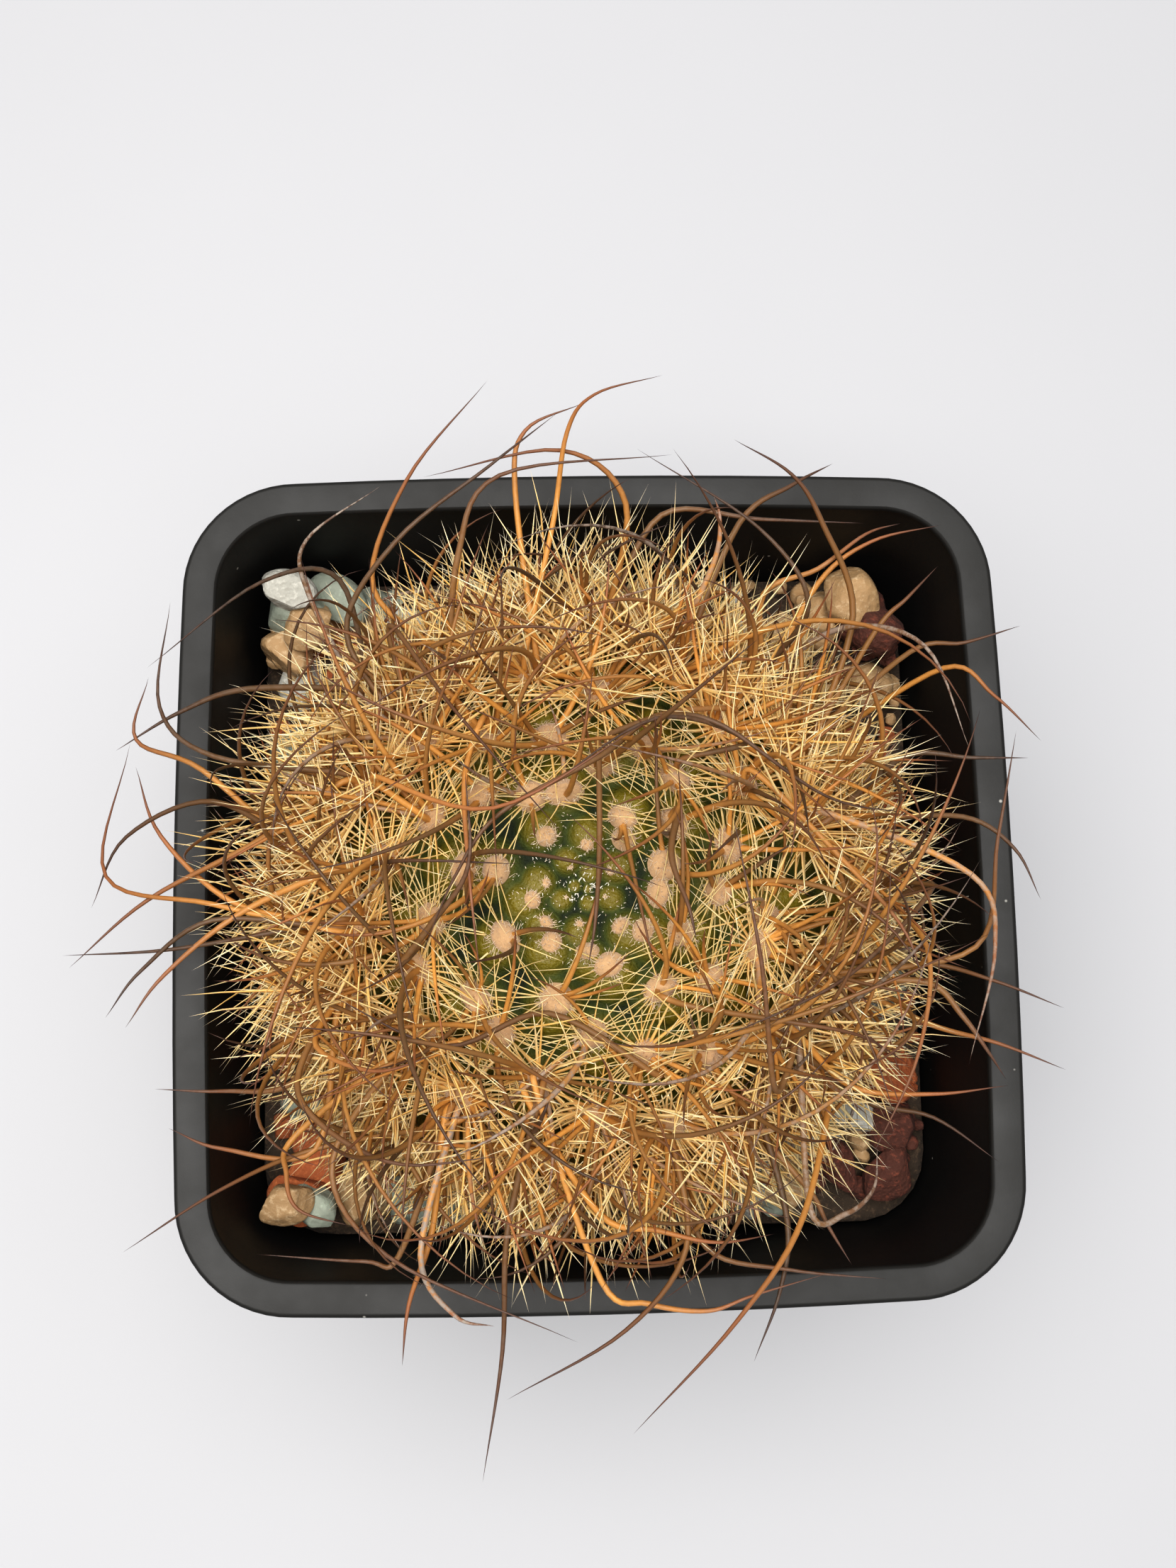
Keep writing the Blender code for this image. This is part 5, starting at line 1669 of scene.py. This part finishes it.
def painted_board(stage):
    """Matt painted board: an even pale grey-white with a very soft, wide reflection."""
    material, tree, shader = start_material("matt_painted_board")
    place = add_node(tree, "ShaderNodeTexCoord").outputs["Object"]
    # Roller marks some 30 mm wide, barely visible
    marks = add_node(tree, "ShaderNodeTexNoise", {"Vector": place, "Scale": per_cell(30 * MM), "Detail": 3.0})
    colour = add_node(tree, "ShaderNodeMix", {
        0: marks.outputs["Fac"], 6: dark(stage.floor, 0.98), 7: tuple(stage.floor),
    }, data_type="RGBA")
    tree.links.new(colour.outputs[2], shader.inputs["Base Color"])
    shader.inputs["Roughness"].default_value = 0.6
    return material


def area_light(name, location, size, power, colour):
    """A square area light that faces the pot."""
    light = bpy.data.lights.new(name, "AREA")
    light.shape = "SQUARE"
    light.size = size
    light.energy = power
    light.color = colour
    lamp = bpy.data.objects.new(name, light)
    lamp.location = location
    lamp.rotation_euler = (Vector((0, 0, 0.07)) - lamp.location).to_track_quat("-Z", "Y").to_euler()
    bpy.context.scene.collection.objects.link(lamp)


class CACTUS_OT_make_stage(bpy.types.Operator):
    """Build the floor, the soft lights and the camera over the pot"""

    bl_idname = "cactus.make_stage"
    bl_label = "Make Stage"

    def execute(self, context):
        settings = context.scene.cactus_stage
        scene = context.scene
        bm = bmesh.new()
        bmesh.ops.create_grid(bm, x_segments=8, y_segments=8, size=8)
        floor = object_from(bm, "stage_floor", painted_board(settings))
        area_light("key_light", (-0.11, 0.01, 0.62), 0.45, settings.key_power, (1.0, 0.97, 0.93))
        area_light("top_light", (0.02, 0.04, 0.84), 0.8, settings.top_power, (0.97, 0.98, 1.0))
        world = bpy.data.worlds.new("soft_surround")
        world.use_nodes = True
        background = world.node_tree.nodes["Background"]
        background.inputs["Color"].default_value = (0.97, 0.97, 0.98, 1)
        background.inputs["Strength"].default_value = settings.surround
        scene.world = world
        camera = bpy.data.cameras.new("camera")
        camera.lens = 40.24
        camera.sensor_width = 36
        camera.sensor_fit = "AUTO"
        camera.clip_start = 0.01
        view = bpy.data.objects.new("camera", camera)
        view.location = (VIEW_X * MM, VIEW_Y * MM, POT_HEIGHT + VIEW_HEIGHT * MM)
        view.rotation_euler = [math.radians(angle) for angle in (8.82, -1.84, -1.24)]
        scene.collection.objects.link(view)
        scene.camera = view
        scene.view_settings.view_transform = "Standard"
        scene.view_settings.look = "Medium High Contrast"
        return {"FINISHED"}


# Add-on

SETTINGS = {
    "cactus_pot": PotSettings,
    "cactus_soil": SoilSettings,
    "cactus_gravel": GravelSettings,
    "cactus_body": BodySettings,
    "cactus_wool": WoolSettings,
    "cactus_spines": SpineSettings,
    "cactus_stage": StageSettings,
}
OPERATORS = (
    CACTUS_OT_make_pot,
    CACTUS_OT_make_soil,
    CACTUS_OT_make_gravel,
    CACTUS_OT_make_body,
    CACTUS_OT_make_areoles,
    CACTUS_OT_make_radials,
    CACTUS_OT_make_centrals,
    CACTUS_OT_make_stage,
)


class CACTUS_PT_pieces(bpy.types.Panel):
    """The pieces of the potted cactus and their settings"""

    bl_idname = "CACTUS_PT_pieces"
    bl_label = "Potted Cactus"
    bl_space_type = "VIEW_3D"
    bl_region_type = "UI"
    bl_category = "Cactus"

    def draw(self, context):
        for operator in OPERATORS:
            self.layout.operator(operator.bl_idname)
        for name, group in SETTINGS.items():
            box = self.layout.box()
            box.label(text=name.replace("_", " ").title())
            for key in group.__annotations__:
                box.prop(getattr(context.scene, name), key)


def register():
    """Register the settings, the operators and the panel."""
    for name, group in SETTINGS.items():
        bpy.utils.register_class(group)
        setattr(bpy.types.Scene, name, bpy.props.PointerProperty(type=group))
    for operator in OPERATORS:
        bpy.utils.register_class(operator)
    bpy.utils.register_class(CACTUS_PT_pieces)


def unregister():
    """Remove the panel, the operators and the settings."""
    bpy.utils.unregister_class(CACTUS_PT_pieces)
    for operator in reversed(OPERATORS):
        bpy.utils.unregister_class(operator)
    for name, group in reversed(list(SETTINGS.items())):
        delattr(bpy.types.Scene, name)
        bpy.utils.unregister_class(group)


def main():
    """Build every piece in order."""
    register()
    bpy.ops.cactus.make_pot()
    bpy.ops.cactus.make_soil()
    bpy.ops.cactus.make_gravel()
    bpy.ops.cactus.make_body()
    bpy.ops.cactus.make_areoles()
    bpy.ops.cactus.make_radials()
    bpy.ops.cactus.make_centrals()
    bpy.ops.cactus.make_stage()


if __name__ == "__main__":
    main()
